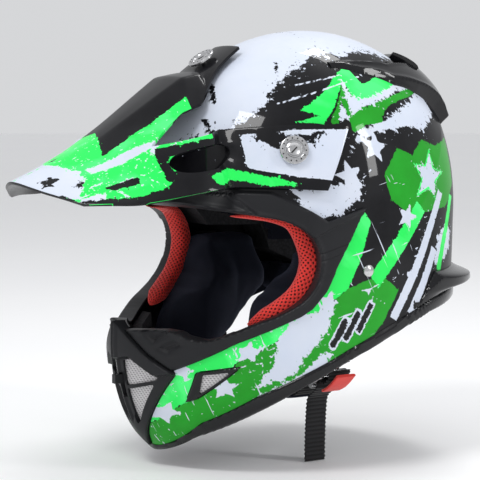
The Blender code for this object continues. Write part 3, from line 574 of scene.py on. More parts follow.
def tape(name, colour, light):
    """Woven strap: ribs across its width and fine threads along it, with painted shade darkening the grooves
    between the ribs.
    """
    strap = Surface(name, 0.75, Specular_IOR_Level=0.2, Sheen_Weight=0.15)
    ribs = strap.attribute("ribs")
    threads = strap.noise(1800, 2, 0.5)
    thread_rib_height_and_shade = strap.math("MULTIPLY_ADD", threads, 0.5, strap.math("MULTIPLY", ribs, 0.7))
    # Painted shade: the colour is lighter on the rib crests and darker in the grooves between them; the
    # threads add tone that varies at random.
    strap.colour(strap.mix(strap.ramp(thread_rib_height_and_shade, 0.2, 1.0), colour, light))
    strap.bump(thread_rib_height_and_shade, 0.3, 0.9)
    return strap.material


# ---- The printed graphics, as side outlines (y, z) ----

STAR_ARMS = 5
STAR_NOTCH = 0.42


def star(y, z, size, turn=0.0):
    points = []
    for k in range(2 * STAR_ARMS):
        reach = size if k % 2 == 0 else size * STAR_NOTCH
        angle = math.radians(turn) + math.pi * k / STAR_ARMS
        points.append((y + reach * math.sin(angle), z + reach * math.cos(angle)))
    return points


def band(start, end, width):
    """A straight stripe between two points."""
    (a, b), (c, d) = start, end
    run = Vector((c - a, d - b)).normalized() * (width / 2)
    return [(a - run.y, b + run.x), (c - run.y, d + run.x), (c + run.y, d - run.x), (a + run.y, b - run.x)]


FOREHEAD = [(-210, 24), (-210, 165), (-8, 165), (-6, 117), (-12, 122), (-22, 120), (-36, 112), (-48, 105),
            (-60, 97), (-68, 88), (-76, 79), (-92, 68), (-112, 58), (-128, 44), (-150, 32)]
CROWN_BACK = [(-10, 165), (-9, 124), (4, 120), (22, 126), (48, 122), (84, 112), (84, 165)]
REAR_PATCH = [(76, 96), (84, 76), (62, 62), (44, 67), (12, 63), (-11, 55), (-21, 47), (-10, 64), (14, 70),
              (36, 79), (58, 88)]
BROW_PATCH = [(-68, 20), (-12, 25), (-16, 12), (-30, 2), (-54, -2), (-64, 12)]
CREST = [(1, 114), (7, 99), (19, 102), (40, 110), (64, 107), (48, 98), (25, 91), (6, 85), (-4, 84), (-9, 102),
         (-22, 84), (-36, 69), (-60, 70), (-37, 75), (-51, 79), (-33, 89), (-13, 105)]
CREST_DARK = [(-11, 98), (-31, 69), (-24, 69), (-17, 86), (-15, 71), (-14, 62), (-1, 68), (15, 70), (20, 79),
              (31, 84), (58, 90), (76, 95), (68, 103), (46, 93), (24, 88), (3, 82)]
CREST_STREAK = [(-9, 103), (-7, 91), (2, 87), (24, 92), (56, 104), (72, 103), (54, 96), (22, 87), (1, 81),
                (-12, 74), (-12, 88)]
CREST_PEAK = [(-24, 69), (-17, 86), (-15, 71), (-19, 74)]
REAR_FLASH = star(58, 27, 21, 12)
REAR_SHADE = [(8, 30), (24, 50), (40, 44), (54, 56), (72, 50), (100, 56), (104, 20), (84, 2), (58, 0),
              (34, -2), (14, 10)]
JAW_LIGHT = [(-172, -126), (-139, -119), (-109, -95), (-64, -74), (-50, -60), (-36, -38), (-26, -18),
             (-13, 3), (-6, -6), (-16, -36), (-26, -56), (-49, -72), (-74, -91), (-84, -97), (-103, -110),
             (-117, -133), (-131, -147), (-140, -164), (-150, -182), (-172, -182)]
JAW_DARK = [(-152, -182), (-140, -164), (-131, -147), (-117, -133), (-103, -110), (-74, -91), (-49, -72),
            (-26, -56), (4, -46), (22, -60), (8, -84), (-6, -100), (-30, -116), (-70, -138), (-98, -160),
            (-118, -196)]
JAW_SPLASH = [(-80, -94), (-66, -74), (-44, -72), (-54, -92), (-58, -106), (-64, -120), (-92, -133),
              (-80, -112)]
JAW_SWEEP = [(-92, -140), (-62, -122), (-44, -104), (-34, -104), (-48, -120), (-72, -136)]
REAR_STRIPES = [band((46, 4), (-2, -52), 13), band((96, 10), (70, -48), 7)]
REAR_BARS = [band((74, 14), (18, -82), 8), band((64, -30), (36, -80), 8)]
REAR_TEAR = [(64, -44), (70, -20), (82, -12), (96, -18), (92, -32), (80, -40)]
SLASHES = [band((-38 + 11 * k, -101 + 5.5 * k), (-26 + 11 * k, -79 + 5.5 * k), 5.2) for k in range(3)]
STARS = [star(2, 51, 13, 10), star(-23, 30, 13, -14), star(30, -3, 11, 20), star(-97, -103, 10, 6),
         star(-133, -119, 8, 12), star(-109, -131, 10, -8), star(-137, -154, 10, 10), star(-42, -66, 11, 14)]
INK_FLECKS = [band(*fleck) for fleck in (
    ((-52, 108), (-47, 116), 1.2), ((-96, 84), (-90, 98), 1.6), ((-106, 62), (-104, 72), 2),
    ((-76, 66), (-66, 86), 2.2), ((-58, 74), (-55, 84), 1.4), ((-114, 74), (-108, 84), 1.2),
)]
LIGHT_STROKES = [band(*stroke) for stroke in (
    ((-64, 84), (12, 106), 1.1), ((-46, 98), (-8, 106), 1.1), ((-54, -8), (-4, 34), 1.0),
    ((-18, -60), (40, -44), 0.9), ((-24, -52), (10, -70), 0.9), ((-92, -82), (-86, -124), 0.9),
    ((-110, -104), (-64, -92), 0.9), ((-140, -132), (-112, -116), 0.9),
)]
REAR_FIELD = [(-22, -46), (-24, 24), (20, 30), (60, 4), (56, -44), (20, -56)]
JAW_TEAR = [(-70, -102), (-58, -76), (-36, -66), (-42, -86), (-60, -112), (-84, -128), (-78, -110)]


def union(points, outlines):
    return np.maximum.reduce([side_of(points, outline) for outline in outlines])


def store(obj, name, value):
    layer = obj.data.attributes.new(name, "FLOAT", "POINT")
    layer.data.foreach_set("value", np.asarray(value, np.float32))


def depths(obj, layers, hidden):
    """Stores how deep each vertex lies inside each layer's outlines, in mm, with hidden vertices left bare."""
    for name, value in layers(vertices(obj)).items():
        store(obj, name, np.where(hidden, -60.0, value))


def under_the_form(points):
    """True on the inner face of the shell."""
    angle = angle_of(points[:, 1], points[:, 2])
    reach = np.hypot(points[:, 1], points[:, 2]) / cycle(angle, RADII)
    p, q = cycle(angle, P_KNOTS), cycle(angle, Q_KNOTS)
    return reach**p + (np.abs(points[:, 0]) / HALF_WIDTH) ** q < 0.975


def shell_layers(points):
    slashes = union(points, SLASHES)
    return {
        "white": union(points, [FOREHEAD, CROWN_BACK, REAR_PATCH, BROW_PATCH, REAR_TEAR]),
        "dark": union(points, [CREST_DARK, JAW_DARK, REAR_SHADE]),
        "green": union(points, [CREST, JAW_LIGHT, *REAR_STRIPES]),
        "scratched": union(points, [JAW_LIGHT, JAW_DARK, REAR_FIELD]),
        "splash": union(points, [CREST_STREAK, CREST_PEAK, JAW_SPLASH, JAW_SWEEP, JAW_TEAR, REAR_FLASH]),
        "stars": np.maximum(union(points, STARS + REAR_BARS + LIGHT_STROKES), slashes + 1.4),
        "edging": -np.abs(side_of(points, REAR_FLASH)) + 0.7,
        "ink": np.maximum(slashes, union(points, INK_FLECKS)),
    }


# ---- Shell ----

EXHAUST = [(20, 24), (46, 19), (44, -27), (23, -24)]


def shell_depth(points):
    y, z = points[..., 1], points[..., 2]
    depth = np.minimum(-side_of(points, PORT_CURVE) - 7, z - base_height(y))
    front = np.where(y < -95, -front_of(points, MOUTH_SHIELD) - 0.8, 99)
    vents = -side_of(points, SIDE_VENT) - 0.5
    rear = np.where(y > 0, -inside(np.abs(points[..., 0]), z, EXHAUST) - 3, 99)
    return np.minimum.reduce([depth, front, vents, rear])


BODY_CREASE = [(100, 72), (60, 20), (22, -21)]


def shell_rise(points, depth):
    """A soft crease runs down behind the eye port's side."""
    y, z = points[..., 1], points[..., 2]
    away = near_line(y, z, BODY_CREASE)
    return 0.9 * np.exp(-away / 7.0)


def outer_shell():
    shell = skin("shell", shell_depth, shell_rise, floor=-SHELL_THICKNESS, pitch=0.66)
    depths(shell, shell_layers, under_the_form(vertices(shell)))
    paint = painted("shell_paint", [
        ("white", "white", 8, 18), ("dark", "dark", 2.2, 4), ("green", "green", 2.0, 4),
        ("scratched", "white", 0, 0), ("splash", "white", 6, 15), ("stars", "white", 0.9, 3.2),
        ("edging", "green", 1.0, 2), ("ink", "ink", 2.5, 5),
    ])
    finish_piece(shell, paint, "helmet", ["outer_shell"])


# ---- Eye port trim ----

BROW_FACET = [(-150, 8), (-137, 12), (-122, 19.2), (-112, 18), (-104, 15), (-96, 8), (-88, -1), (-100, 1),
              (-114, 4)]
BROW_RIDGE = [(-108, 19), (-90, -1)]
FIN_CREASE = [(-62, -21), (-40, -9), (-20, 0)]
FIN_LINES = [[(-58, -32), (-40, -26), (-22, -20)], [(-58, -37.5), (-41, -32), (-24, -26)]]
LOWER_CREASE = [(-72, -62), (-52, -51), (-40, -43)]
# The moulding's upper edge where the peak's arm passes over it
UNDER_ARM = [(-104, 19.5), (-81, 18.7), (-56, 4.2)]
NOSE_RECESS = [(17, -86), (33, -80.5), (50, -91), (34, -100)]
NOSE_NOTCH = [(33, -102), (50, -94), (58, -99), (45, -108)]


def trim_depth(points):
    y = points[..., 1]
    depth = np.minimum(side_of(points, PORT_TRIM), -side_of(points, PORT_CURVE))
    return np.minimum(depth, np.where(y < -95, -front_of(points, MOUTH_SHIELD) - 0.4, 99))


def trim_rise(points, depth):
    """The moulding's relief: a brow that juts out, a raised ridge, a fin and two recesses beside the nose."""
    x, y, z = np.abs(points[..., 0]), points[..., 1], points[..., 2]
    rise = rounded_edge(depth, 2.4, 1.6)
    port = -side_of(points, PORT_CURVE)
    rise += 0.9 * np.exp(-((port - 1.6) / 1.4) ** 2)
    facet = side_of(points, BROW_FACET)
    rise += np.where(facet > 0, 3.2 * np.clip(1 - port / 15, 0, 1), 0) * step_up(facet, 0, 1.5)
    rise += 1.5 * np.clip(1 - near_line(y, z, BROW_RIDGE) / 2.2, 0, 1)
    above = z - read_off(FIN_CREASE, y)
    behind = step_up(y, -60, -52)
    rise += 1.7 * behind * step_up(above, -1.2, 1.2)
    for line in FIN_LINES:
        rise -= 0.9 * behind * np.clip(1 - near_line(y, z, line) / 0.9, 0, 1)
    rise += 0.9 * step_up(y, -70, -62) * step_up(read_off(LOWER_CREASE, y) - z, -1.0, 1.0)
    front = y < -105
    rise -= np.where(front, 4.6 * step_up(inside(x, z, NOSE_RECESS), 0, 5.5), 0)
    rise -= np.where(front, 2.6 * step_up(inside(x, z, NOSE_NOTCH), 0, 4.0), 0)
    rise += np.where(y < -90, 1.6 * np.clip(1 - x / 5.5, 0, 1) * step_up(-z, 60, 90), 0)
    limit = 0.5 + 0.65 * np.maximum(read_off(UNDER_ARM, y) - z, 0)
    return np.where((y > -118) & (y < -58) & (x > 60), np.minimum(rise, limit), rise)


def trim_floor(points):
    """The moulding's wall reaches in past the shell all along the port."""
    return -11.0 + 8.0 * step_up(-side_of(points, PORT_CURVE), 2.0, 4.5)


def eyeport_trim(material):
    trim = skin("eye_port_trim", trim_depth, trim_rise, trim_floor, (300, 392), pitch=0.42, smooth_angle=28)
    finish_piece(trim, material, "helmet", ["eyeport_trim"])


# ---- Bars, turned pieces and joining ----

def ring_faces(here, there, count):
    """Faces between two rings of points, from the number of each ring's first point."""
    return [(here + k, here + (k + 1) % count, there + (k + 1) % count, there + k) for k in range(count)]


def sweep(name, centres, sides, ups, section, closed=False, smooth_angle=40.0):
    """A bar along a path: section points (a, b) lie a along each side vector and b along each up vector.

    Its vertices keep how far along and how far round the section they are, in mm."""
    centres, sides, ups = (np.asarray(v, float) for v in (centres, sides, ups))
    section = np.asarray(section, float)
    rings = len(centres)
    if section.ndim == 2:
        section = np.repeat(section[None], rings, 0)
    around = section.shape[1]
    points = centres[:, None] + sides[:, None] * section[..., :1] + ups[:, None] * section[..., 1:]
    faces = []
    for i in range(rings if closed else rings - 1):
        here, there = i * around, (i + 1) % rings * around
        faces += ring_faces(here, there, around)
    if not closed:
        faces += [tuple(range(around)), tuple(range((rings - 1) * around, rings * around))]
    obj = make(name, points.reshape(-1, 3), faces, smooth_angle)
    if len(obj.data.vertices) == rings * around:
        store(obj, "along", np.repeat(lengths(centres), around))
        store(obj, "over", np.tile(lengths(section[rings // 2]), rings))
    return obj


def lengths(path):
    """How far along the path each of its points is."""
    steps = np.linalg.norm(np.diff(path, axis=0), axis=1)
    return np.concatenate([[0], np.cumsum(steps)])


def directions(path):
    """Unit vectors along a path of points."""
    path = np.asarray(path, float)
    run = np.gradient(path, axis=0)
    return run / np.maximum(np.linalg.norm(run, axis=1, keepdims=True), 1e-9)


def even(path, spacing):
    """The path's points again, this far apart."""
    path = np.asarray(path, float)
    along = lengths(path)
    marks = np.linspace(0, along[-1], max(2, int(round(along[-1] / spacing)) + 1))
    return np.stack([np.interp(marks, along, path[:, k]) for k in range(path.shape[1])], 1)


def pill(width, height, power=3.0, steps=40):
    """A rounded box section: a superellipse."""
    angles = [2 * math.pi * k / steps for k in range(steps)]
    return [
        (width / 2 * math.copysign(abs(math.cos(a)) ** (2 / power), math.cos(a)),
         height / 2 * math.copysign(abs(math.sin(a)) ** (2 / power), math.sin(a)))
        for a in angles
    ]


def lathe(name, centre, axis, profile, steps=48, smooth_angle=30.0):
    """A turned piece: its profile is (radius, height) points, starting and ending on the axis."""
    axis = Vector(axis).normalized()
    first = axis.orthogonal().normalized()
    second = axis.cross(first)
    points, faces = [], []
    for radius, height in profile:
        for k in range(steps):
            a = 2 * math.pi * k / steps
            outward = first * math.cos(a) + second * math.sin(a)
            points.append(Vector(centre) + axis * height + outward * radius)
    for i in range(len(profile) - 1):
        here, there = i * steps, (i + 1) * steps
        faces += ring_faces(here, there, steps)
    return make(name, points, faces, smooth_angle)


def join(name, objects):
    """One piece from several."""
    for obj in bpy.context.selected_objects:
        obj.select_set(False)
    for obj in objects:
        obj.select_set(True)
    bpy.context.view_layer.objects.active = objects[0]
    bpy.ops.object.join()
    objects[0].name = objects[0].data.name = name
    return objects[0]


# ---- Trims and vents ----

LIP_DROPS = [(-200, 5), (-128, 5), (-117, 9), (-88, 11), (-56, 6), (-40, 5), (180, 5)]
TRIM_UP = 4.5
CHIN_LENS = [(-120, -186), (-117, -172), (-104, -160), (-88, -147), (-66, -134), (-52, -129), (-60, -140),
             (-88, -158), (-104, -172)]


def base_depth(points):
    y, z = points[..., 1], points[..., 2]
    depth = np.minimum(z - base_height(y) + read_off(LIP_DROPS, y), base_height(y) + TRIM_UP - z) * 0.9
    return np.minimum(depth, np.where(y < -95, -front_of(points, MOUTH_SHIELD) - 0.4, 99))


def base_rise(points, depth):
    rise = rounded_edge(depth, 1.9, 1.5)
    lens = side_of(points, CHIN_LENS)
    rise -= 0.35 * np.clip(lens, 0, 8)
    y, z = points[..., 1], points[..., 2]
    return rise - 0.5 * np.exp(-((z - base_height(y) - 2.2) / 0.5) ** 2)


def base_trim(material):
    trim = skin("base_trim_visual", base_depth, base_rise, -5.0, (180, 325), pitch=0.5, smooth_angle=35)
    finish_piece(trim, material, "helmet", ["base_trim"])


HOOD = [(0, -84), (28, -104), (48.5, -121.5), (33, -123.5), (13, -110.5), (0, -113)]
RECESS = [(0, -113), (13, -110.5), (37, -125), (0, -166)]
UPPER_WINDOW = [(5.5, -114.5), (14, -112.5), (36, -126), (30, -129), (12, -133.5), (5.5, -134.5)]
LOWER_WINDOW = [(5.5, -137), (12, -136), (30, -131.5), (33, -130), (10, -162), (5.5, -165)]
TAB_SLOT = [(-3.4, -144), (3.4, -144), (3.4, -124.5), (-3.4, -124.5)]
MOUTH_SCREEN = [(4.4, -111), (15, -110.5), (36, -126), (33, -133), (12, -165), (4.4, -166)]


def mouth_depth(points):
    x, y, z = np.abs(points[..., 0]), points[..., 1], points[..., 2]
    depth = np.minimum(front_of(points, MOUTH_SHIELD), z - base_height(y) - TRIM_UP - 0.6)
    holes = np.maximum(inside(x, z, UPPER_WINDOW), inside(x, z, LOWER_WINDOW))
    holes = np.maximum(holes, front_of(points, TAB_SLOT))
    return np.where(y < -90, np.minimum(depth, -holes), -99)


def mouth_rise(points, depth):
    x, z = np.abs(points[..., 0]), points[..., 2]
    rise = rounded_edge(front_of(points, MOUTH_SHIELD), 3.0, 1.2)
    rise += 2.6 * step_up(inside(x, z, HOOD), -0.6, 0.6)
    rise += 1.8 * np.clip(1 - x / 4.5, 0, 1) * step_up(inside(x, z, HOOD), -3, 3)
    rise -= 1.6 * step_up(inside(x, z, RECESS), 0, 2.5)
    return rise


def flat(height):
    """The same height all over a layer."""
    return lambda points, depth: np.full(len(points), height)


def mouth_screen_depth(points):
    return np.where(points[..., 1] < -90, inside(np.abs(points[..., 0]), points[..., 2], MOUTH_SCREEN), -99)


def mouth_vent(black, mesh):
    housing = skin("mouth_vent_shield", mouth_depth, mouth_rise, -5.0, (296, 352), (-0.42, 0.42), 0.22, 26)
    finish_piece(housing, black, "helmet", ["mouth_vent_housing"])
    screen = skin("mouth_vent_screens", mouth_screen_depth, flat(-0.8), -1.6, (296, 345), (-0.4, 0.4), 0.5)
    finish_piece(screen, mesh, "helmet", ["mouth_vent_mesh_left", "mouth_vent_mesh_right"])


def side_vent_rise(points, depth):
    edge = rounded_edge(side_of(points, SIDE_VENT), 1.4, 0.9)
    return edge - 1.2 * step_up(-side_of(points, SIDE_VENT_WINDOW), 3.0, 0.2)


def side_vents(black, mesh):
    for label, side in SIDES:
        def frame_depth(points, side=side):
            depth = np.minimum(side_of(points, SIDE_VENT), -side_of(points, SIDE_VENT_WINDOW))
            return np.where(points[..., 0] * side > 0, depth, -99)

        def screen_depth(points, side=side):
            return np.where(points[..., 0] * side > 0, side_of(points, SIDE_VENT_WINDOW) + 1.5, -99)

        lanes = lanes_on(side, 0.25, 0.8)
        part = skin(f"side_vent_bezel_{label}", frame_depth, side_vent_rise, -4.0, (300, 330), lanes, 0.25, 30)
        finish_piece(part, black, "helmet", [f"side_vent_frame_{label}"])
        part = skin(f"side_vent_screen_{label}", screen_depth, flat(-1.4), -2.2, (300, 330), lanes, 0.4)
        finish_piece(part, mesh, "helmet", [f"side_vent_mesh_{label}"])


# ---- Rear mouldings ----

# Small fins on the deck: place on the form, length, tallest half height, how far the tail lifts, steps
FIN_PLACE = (121.0, 0.30)
FIN_LENGTH, FIN_HEIGHT, FIN_LIFT, FIN_STEPS = 26.0, 4.2, 5.0, 12
SPOILER_LIFT = [(0, 1.2), (90, 1.2), (108, 3.0), (136, 6.0), (147, 4.0), (160, 1.2), (270, 1.2)]
SPOILER_OUTLINE = [
    (76, -14), (84, 14), (86, 42), (80, 68), (72, 92), (66, 125), (-66, 125), (-72, 92), (-80, 68), (-86, 42),
    (-84, 14), (-76, -14), (-71, -14), (-72, 14), (-70, 40), (-60, 62), (-36, 78), (0, 84), (36, 78), (60, 62),
    (70, 40), (72, 14), (71, -14),
]


def spoiler_depth(points):
    x, y, z = points[..., 0], points[..., 1], points[..., 2]
    return np.where(z > 40, np.minimum(inside(x, y, SPOILER_OUTLINE), z - 66), -99)


def spoiler_rise(points, depth):
    """A deck that grows towards a sharp rear lip."""
    x, y, z = np.abs(points[..., 0]), points[..., 1], points[..., 2]
    corner = np.exp(-((x - 62) / 26) ** 2) * step_up(y, 40, 96)
    lift = cycle(angle_of(y, z), SPOILER_LIFT) * 1.25 + 3.2 * corner
    ridge = 1.2 * np.exp(-((depth - 3.0) / 1.6) ** 2)
    return rounded_edge(depth, 1.0, 1.0) + (lift - 1.0 + ridge) * step_up(depth, 0, 4.5)


def rear_spoiler(material):
    part = skin("rear_deck", spoiler_depth, spoiler_rise, -0.6, (84, 158), pitch=0.42, smooth_angle=30)
    finish_piece(part, material, "helmet", ["rear_spoiler"])
    for label, side in SIDES:
        finish_piece(deck_fin(label, side), material, "helmet")


def deck_fin(label, side):
    """A thin curved fin that stands on the deck."""
    angle, lane = np.array([FIN_PLACE[0]]), np.array([side * FIN_PLACE[1]])
    normal = Vector(tangents(angle, lane)[2][0])
    run = Vector((0.1 * side, 0.8, -0.55)).normalized()
    across = normal.cross(run).normalized()
    start = Vector(form(angle, lane)[0]) + normal * 4.5
    centres, sections = [], []
    for k in range(FIN_STEPS + 1):
        t = k / FIN_STEPS
        centres.append(start + run * (FIN_LENGTH * (t - 0.5)) + normal * (FIN_LIFT * t**1.6))
        tall = FIN_HEIGHT * math.sin(math.pi * min(1, 0.12 + 0.88 * t)) ** 0.6 + 0.5
        sections.append(pill(1.6, 2 * tall, 2.6, 16))
    count = len(centres)
    return sweep(f"deck_fin_{label}", centres, [across] * count, [normal] * count, sections)


NAPE_TOP = [(46, -71), (64, -48), (190, -46)]
NAPE_FLARE = [(0, 1.6), (150, 1.6), (194, 2), (201, 9), (207, 15), (213, 15), (221, 7), (230, 2), (250, 1.6)]


def nape_depth(points):
    y, z = points[..., 1], points[..., 2]
    return np.where(y > 40, np.minimum(read_off(NAPE_TOP, y) - z, z - base_height(y) - TRIM_UP - 0.6), -99)


def nape_rise(points, depth):
    y, z = points[..., 1], points[..., 2]
    flare = cycle(angle_of(y, z), NAPE_FLARE)
    return rounded_edge(depth, 1.6, 1.4) + (flare - 1.6) * step_up(depth, 0, 6.0)


def nape_spoiler(material):
    part = skin("nape_wing", nape_depth, nape_rise, floor=-0.5, around=(184, 250), pitch=0.4, smooth_angle=30)
    finish_piece(part, material, "helmet", ["nape_spoiler"])


EXHAUST_SLOTS = [[(27, low), (40, low), (40, low + 6), (27, low + 6)] for low in (-21, -11, -1, 9)]


def rear_exhausts(material):
    for label, side in SIDES:
        def depth(points, side=side):
            x, y, z = points[..., 0] * side, points[..., 1], points[..., 2]
            slots = np.maximum.reduce([inside(x, z, slot) for slot in EXHAUST_SLOTS])
            return np.where(y > 60, np.minimum(inside(x, z, EXHAUST), -slots), -99)

        def rise(points, _, side=side):
            rim = inside(points[..., 0] * side, points[..., 2], EXHAUST)
            return rounded_edge(rim, 1.8, 1.2) - 1.1 * step_up(rim, 3.0, 4.2)

        lanes = lanes_on(side, 0.08, 0.3)
        part = skin(f"exhaust_grille_{label}", depth, rise, -3.5, (165, 195), lanes, 0.22, 30)
        finish_piece(part, material, "helmet", [f"rear_exhaust_{label}"])


BROW_VENT = [(30, 12.5), (80, 13.5), (80, 18.5), (30, 21.5)]
# Honeycomb: rows and columns, first place and pitch as (x, z), a cell's radius and its height over the form
CELLS = (3, 13)
CELL_START, CELL_PITCH = (33, 12.6), (4.0, 3.4)
CELL_RADIUS, CELL_LIFT = 2.1, 3.0


def brow_places():
    """Places and normals of the cells on the wearer's left that fall inside the vent."""
    angle, lane = np.meshgrid(np.linspace(330, 380, 200), np.linspace(0.05, 0.9, 200), indexing="ij")
    spots = form(angle, lane)
    behind = np.where(spots[..., 1] < 0, 0, 1e6)
    found = []
    for row in range(CELLS[0]):
        for column in range(CELLS[1]):
            x = CELL_START[0] + CELL_PITCH[0] * (column + 0.5 * (row % 2))
            z = CELL_START[1] + CELL_PITCH[1] * row
            if inside(x, z, BROW_VENT) < -0.4:
                continue
            gap = (spots[..., 0] - x) ** 2 + (spots[..., 2] - z) ** 2 + behind
            i, k = np.unravel_index(np.argmin(gap), gap.shape)
            found.append((Vector(spots[i, k]), Vector(tangents(angle[i, k], lane[i, k])[2])))
    return found


def brow_cell(number, base, normal, side):
    """A hexagonal ring."""
    first = normal.cross(Vector((0, 0, 1))).normalized()
    second = normal.cross(first)
    centres, outward = [], []
    for k in range(6):
        a = math.pi * k / 3 + math.pi / 6
        direction = first * math.cos(a) + second * math.sin(a)
        centres.append(base + normal * CELL_LIFT + direction * CELL_RADIUS)
        outward.append(direction)
    for point in centres + outward:
        point.x *= side
    normal = Vector((normal.x * side, normal.y, normal.z))
    return sweep(f"cell_{number}", centres, outward, [normal] * 6, pill(0.8, 1.6, 4, 8), closed=True)


def brow_vents(material):
    """Honeycomb grilles along the brow, made of hexagonal rings."""
    places = brow_places()
    for label, side in SIDES:
        cells = [brow_cell(number, *place, side) for number, place in enumerate(places)]
        grille = join(f"brow_honeycomb_{label}", cells)
        finish_piece(grille, material, "helmet", [f"brow_vent_grille_{label}"])


# ---- Peak ----

PEAK_THICKNESS = 2.4
PEAK_RISE, CROWN_RISE = 6.0, 7.2
PIVOT = (-63.0, 47.5)
CENTRE_ANGLE = 55.0


def on_side(y, z):
    return (float(width_at(y, z, PEAK_RISE)), y, z)


def on_crown(angle, x):
    radius, q, p = cycle(angle, RADII) + CROWN_RISE, cycle(angle, Q_KNOTS), cycle(angle, P_KNOTS)
    reach = (1 - (abs(x) / (HALF_WIDTH + CROWN_RISE)) ** q) ** (1 / p) * radius
    return (x, -reach * math.cos(math.radians(angle)), reach * math.sin(math.radians(angle)))


PEAK_ROWS = {
    "front": [(0, -249, 27), (14, -246, 25), (34, -238.5, 20), (50, -229.5, 16.5), (63, -221.5, 11.6)],
    "blade": [(0, -222, 37.5), (14, -221, 36), (37, -217, 29.5), (58, -211, 22.5), (80, -205, 13.5)],
    "middle": [(0, -196, 51), (14, -195.5, 49.5), (40, -190, 42), (62, -185, 33), (86.5, -186, 12)],
    "root": [(0, -171, 66), (14, -171, 64.5), (38, -163, 59), (62, -165, 52.7), (88.5, -160, 15.5)],
    "slope": [(0, -141, 87), (18, -142, 85), (34, -141, 73), (50, -143, 67.6)],
    "top": [(0, -114, 105.5), (22, -114, 104), (32, -117, 91), (42, -125, 77.5)],
    "step": [(0, -97, 109), (22, -98, 107), (32, -99, 97), (41, -107, 84)],
    "plate": [on_crown(49, x) for x in (0, 15, 22, 28)],
    "screw": [on_crown(56, x) for x in (0, 12, 18, 23)],
    "tail": [on_crown(65, x) for x in (0, 8, 14, 18)],
    "window": [(70, -158, 46), (80, -156, 33)],
    "arm": [(78, -127, 59.8), (82, -129, 52.6), (89, -131, 34), (95, -133.6, 20.5)],
    "strut": [on_side(*p) for p in ((-102, 65.7), (-101, 57), (-104, 39), (-102, 23))],
    "side": [on_side(*p) for p in ((-62, 69.3), (-63, 56), (-65, 39), (-70, 21))],
    "end": [on_side(*p) for p in ((-20, 68.3), (-28, 54), (-36, 38), (-45, 19.5))],
}
# Rows that are joined by a band of faces
PEAK_BANDS = [
    ("front", "blade"), ("blade", "middle"), ("middle", "root"), ("root", "slope"), ("slope", "top"),
    ("top", "step"), ("step", "plate"), ("plate", "screw"), ("screw", "tail"), ("strut", "side"),
    ("side", "end"),
]
SHARP_RUNS = [
    [("root", 1), ("slope", 1), ("top", 1), ("step", 1)], [("root", 2), ("slope", 2), ("top", 2), ("step", 2)],
    [("top", 0), ("top", 1), ("top", 2), ("top", 3)], [("step", 0), ("step", 1), ("step", 2), ("step", 3)],
    [("middle", 1), ("root", 1)], [("blade", 3), ("middle", 3), ("root", 3)],
]


FOLD_CREASE, RIM_CREASE = 0.75, 0.85


def peak_cage():
    """Left half of the outer surface: points, faces and the edges that stay crisp."""
    index, points = {}, []
    for name, row in PEAK_ROWS.items():
        for k, point in enumerate(row):
            index[name, k] = len(points)
            points.append(point)
    faces = []
    for first, second in PEAK_BANDS:
        for k in range(min(len(PEAK_ROWS[first]), len(PEAK_ROWS[second])) - 1):
            faces.append((index[first, k], index[first, k + 1], index[second, k + 1], index[second, k]))
    faces += [
        (index["root", 3], index["root", 4], index["window", 1], index["window", 0]),
        (index["root", 3], index["window", 0], index["arm", 1], index["arm", 0]),
        (index["window", 1], index["root", 4], index["arm", 3], index["arm", 2]),
    ]
    for k in (0, 2):
        faces.append((index["arm", k], index["arm", k + 1], index["strut", k + 1], index["strut", k]))
    crisp = [(index[a], index[b]) for run in SHARP_RUNS for a, b in zip(run, run[1:])]
    return points, faces, crisp


def peak_mesh():
    points, faces, crisp = peak_cage()
    count = len(points)
    middle = {i for i, p in enumerate(points) if p[0] == 0}
    opposite = [i if i in middle else i + count for i in range(count)]
    points = points + [(-x, y, z) for x, y, z in points]
    faces = faces + [tuple(opposite[i] for i in reversed(face)) for face in faces]
    crisp = crisp + [(opposite[a], opposite[b]) for a, b in crisp]
    mesh = bpy.data.meshes.new("peak_shape")
    mesh.from_pydata((np.array(points) * MM).tolist(), [], faces)
    work = bmesh.new()
    work.from_mesh(mesh)
    work.verts.ensure_lookup_table()
    crease = work.edges.layers.float.new("crease_edge")
    for a, b in crisp:
        edge = work.edges.get((work.verts[a], work.verts[b]))
        if edge:
            edge[crease] = FOLD_CREASE
    for edge in work.edges:
        if edge.is_boundary:
            edge[crease] = RIM_CREASE
    bmesh.ops.delete(work, geom=[v for v in work.verts if not v.link_faces], context="VERTS")
    bmesh.ops.recalc_face_normals(work, faces=work.faces)
    top = max(work.faces, key=lambda face: face.calc_center_median().z)
    if top.normal.z < 0:
        bmesh.ops.reverse_faces(work, faces=work.faces)
    work.to_mesh(mesh)
    work.free()
    return linked("peak_shape", mesh)


def on_the_form(points):
    """The peak's points with its arms moved sideways, so that they stand evenly off the shell."""
    x, y, z = points.T
    arm = (np.abs(x) > 60) * step_up(y, -118, -100)
    wanted = np.sign(x) * width_at(y, z, PEAK_RISE)
    points[:, 0] = x + (wanted - x) * arm
    return points


PLATE = [(-96, 61), (-60, 65), (-14, 65), (-40, 27), (-66, 30), (-96, 36)]
PLATE_SPLASH = [(-84, 66), (-60, 60), (-40, 64), (-52, 54), (-58, 58), (-74, 50), (-90, 58)]
ARM_FLASH = [(-128, 31), (-108, 36), (-78, 29), (-62, 24), (-84, 23), (-104, 27), (-122, 24)]
WINDOW = [(-160, 48), (-104, 58), (-104, 38), (-158, 31)]
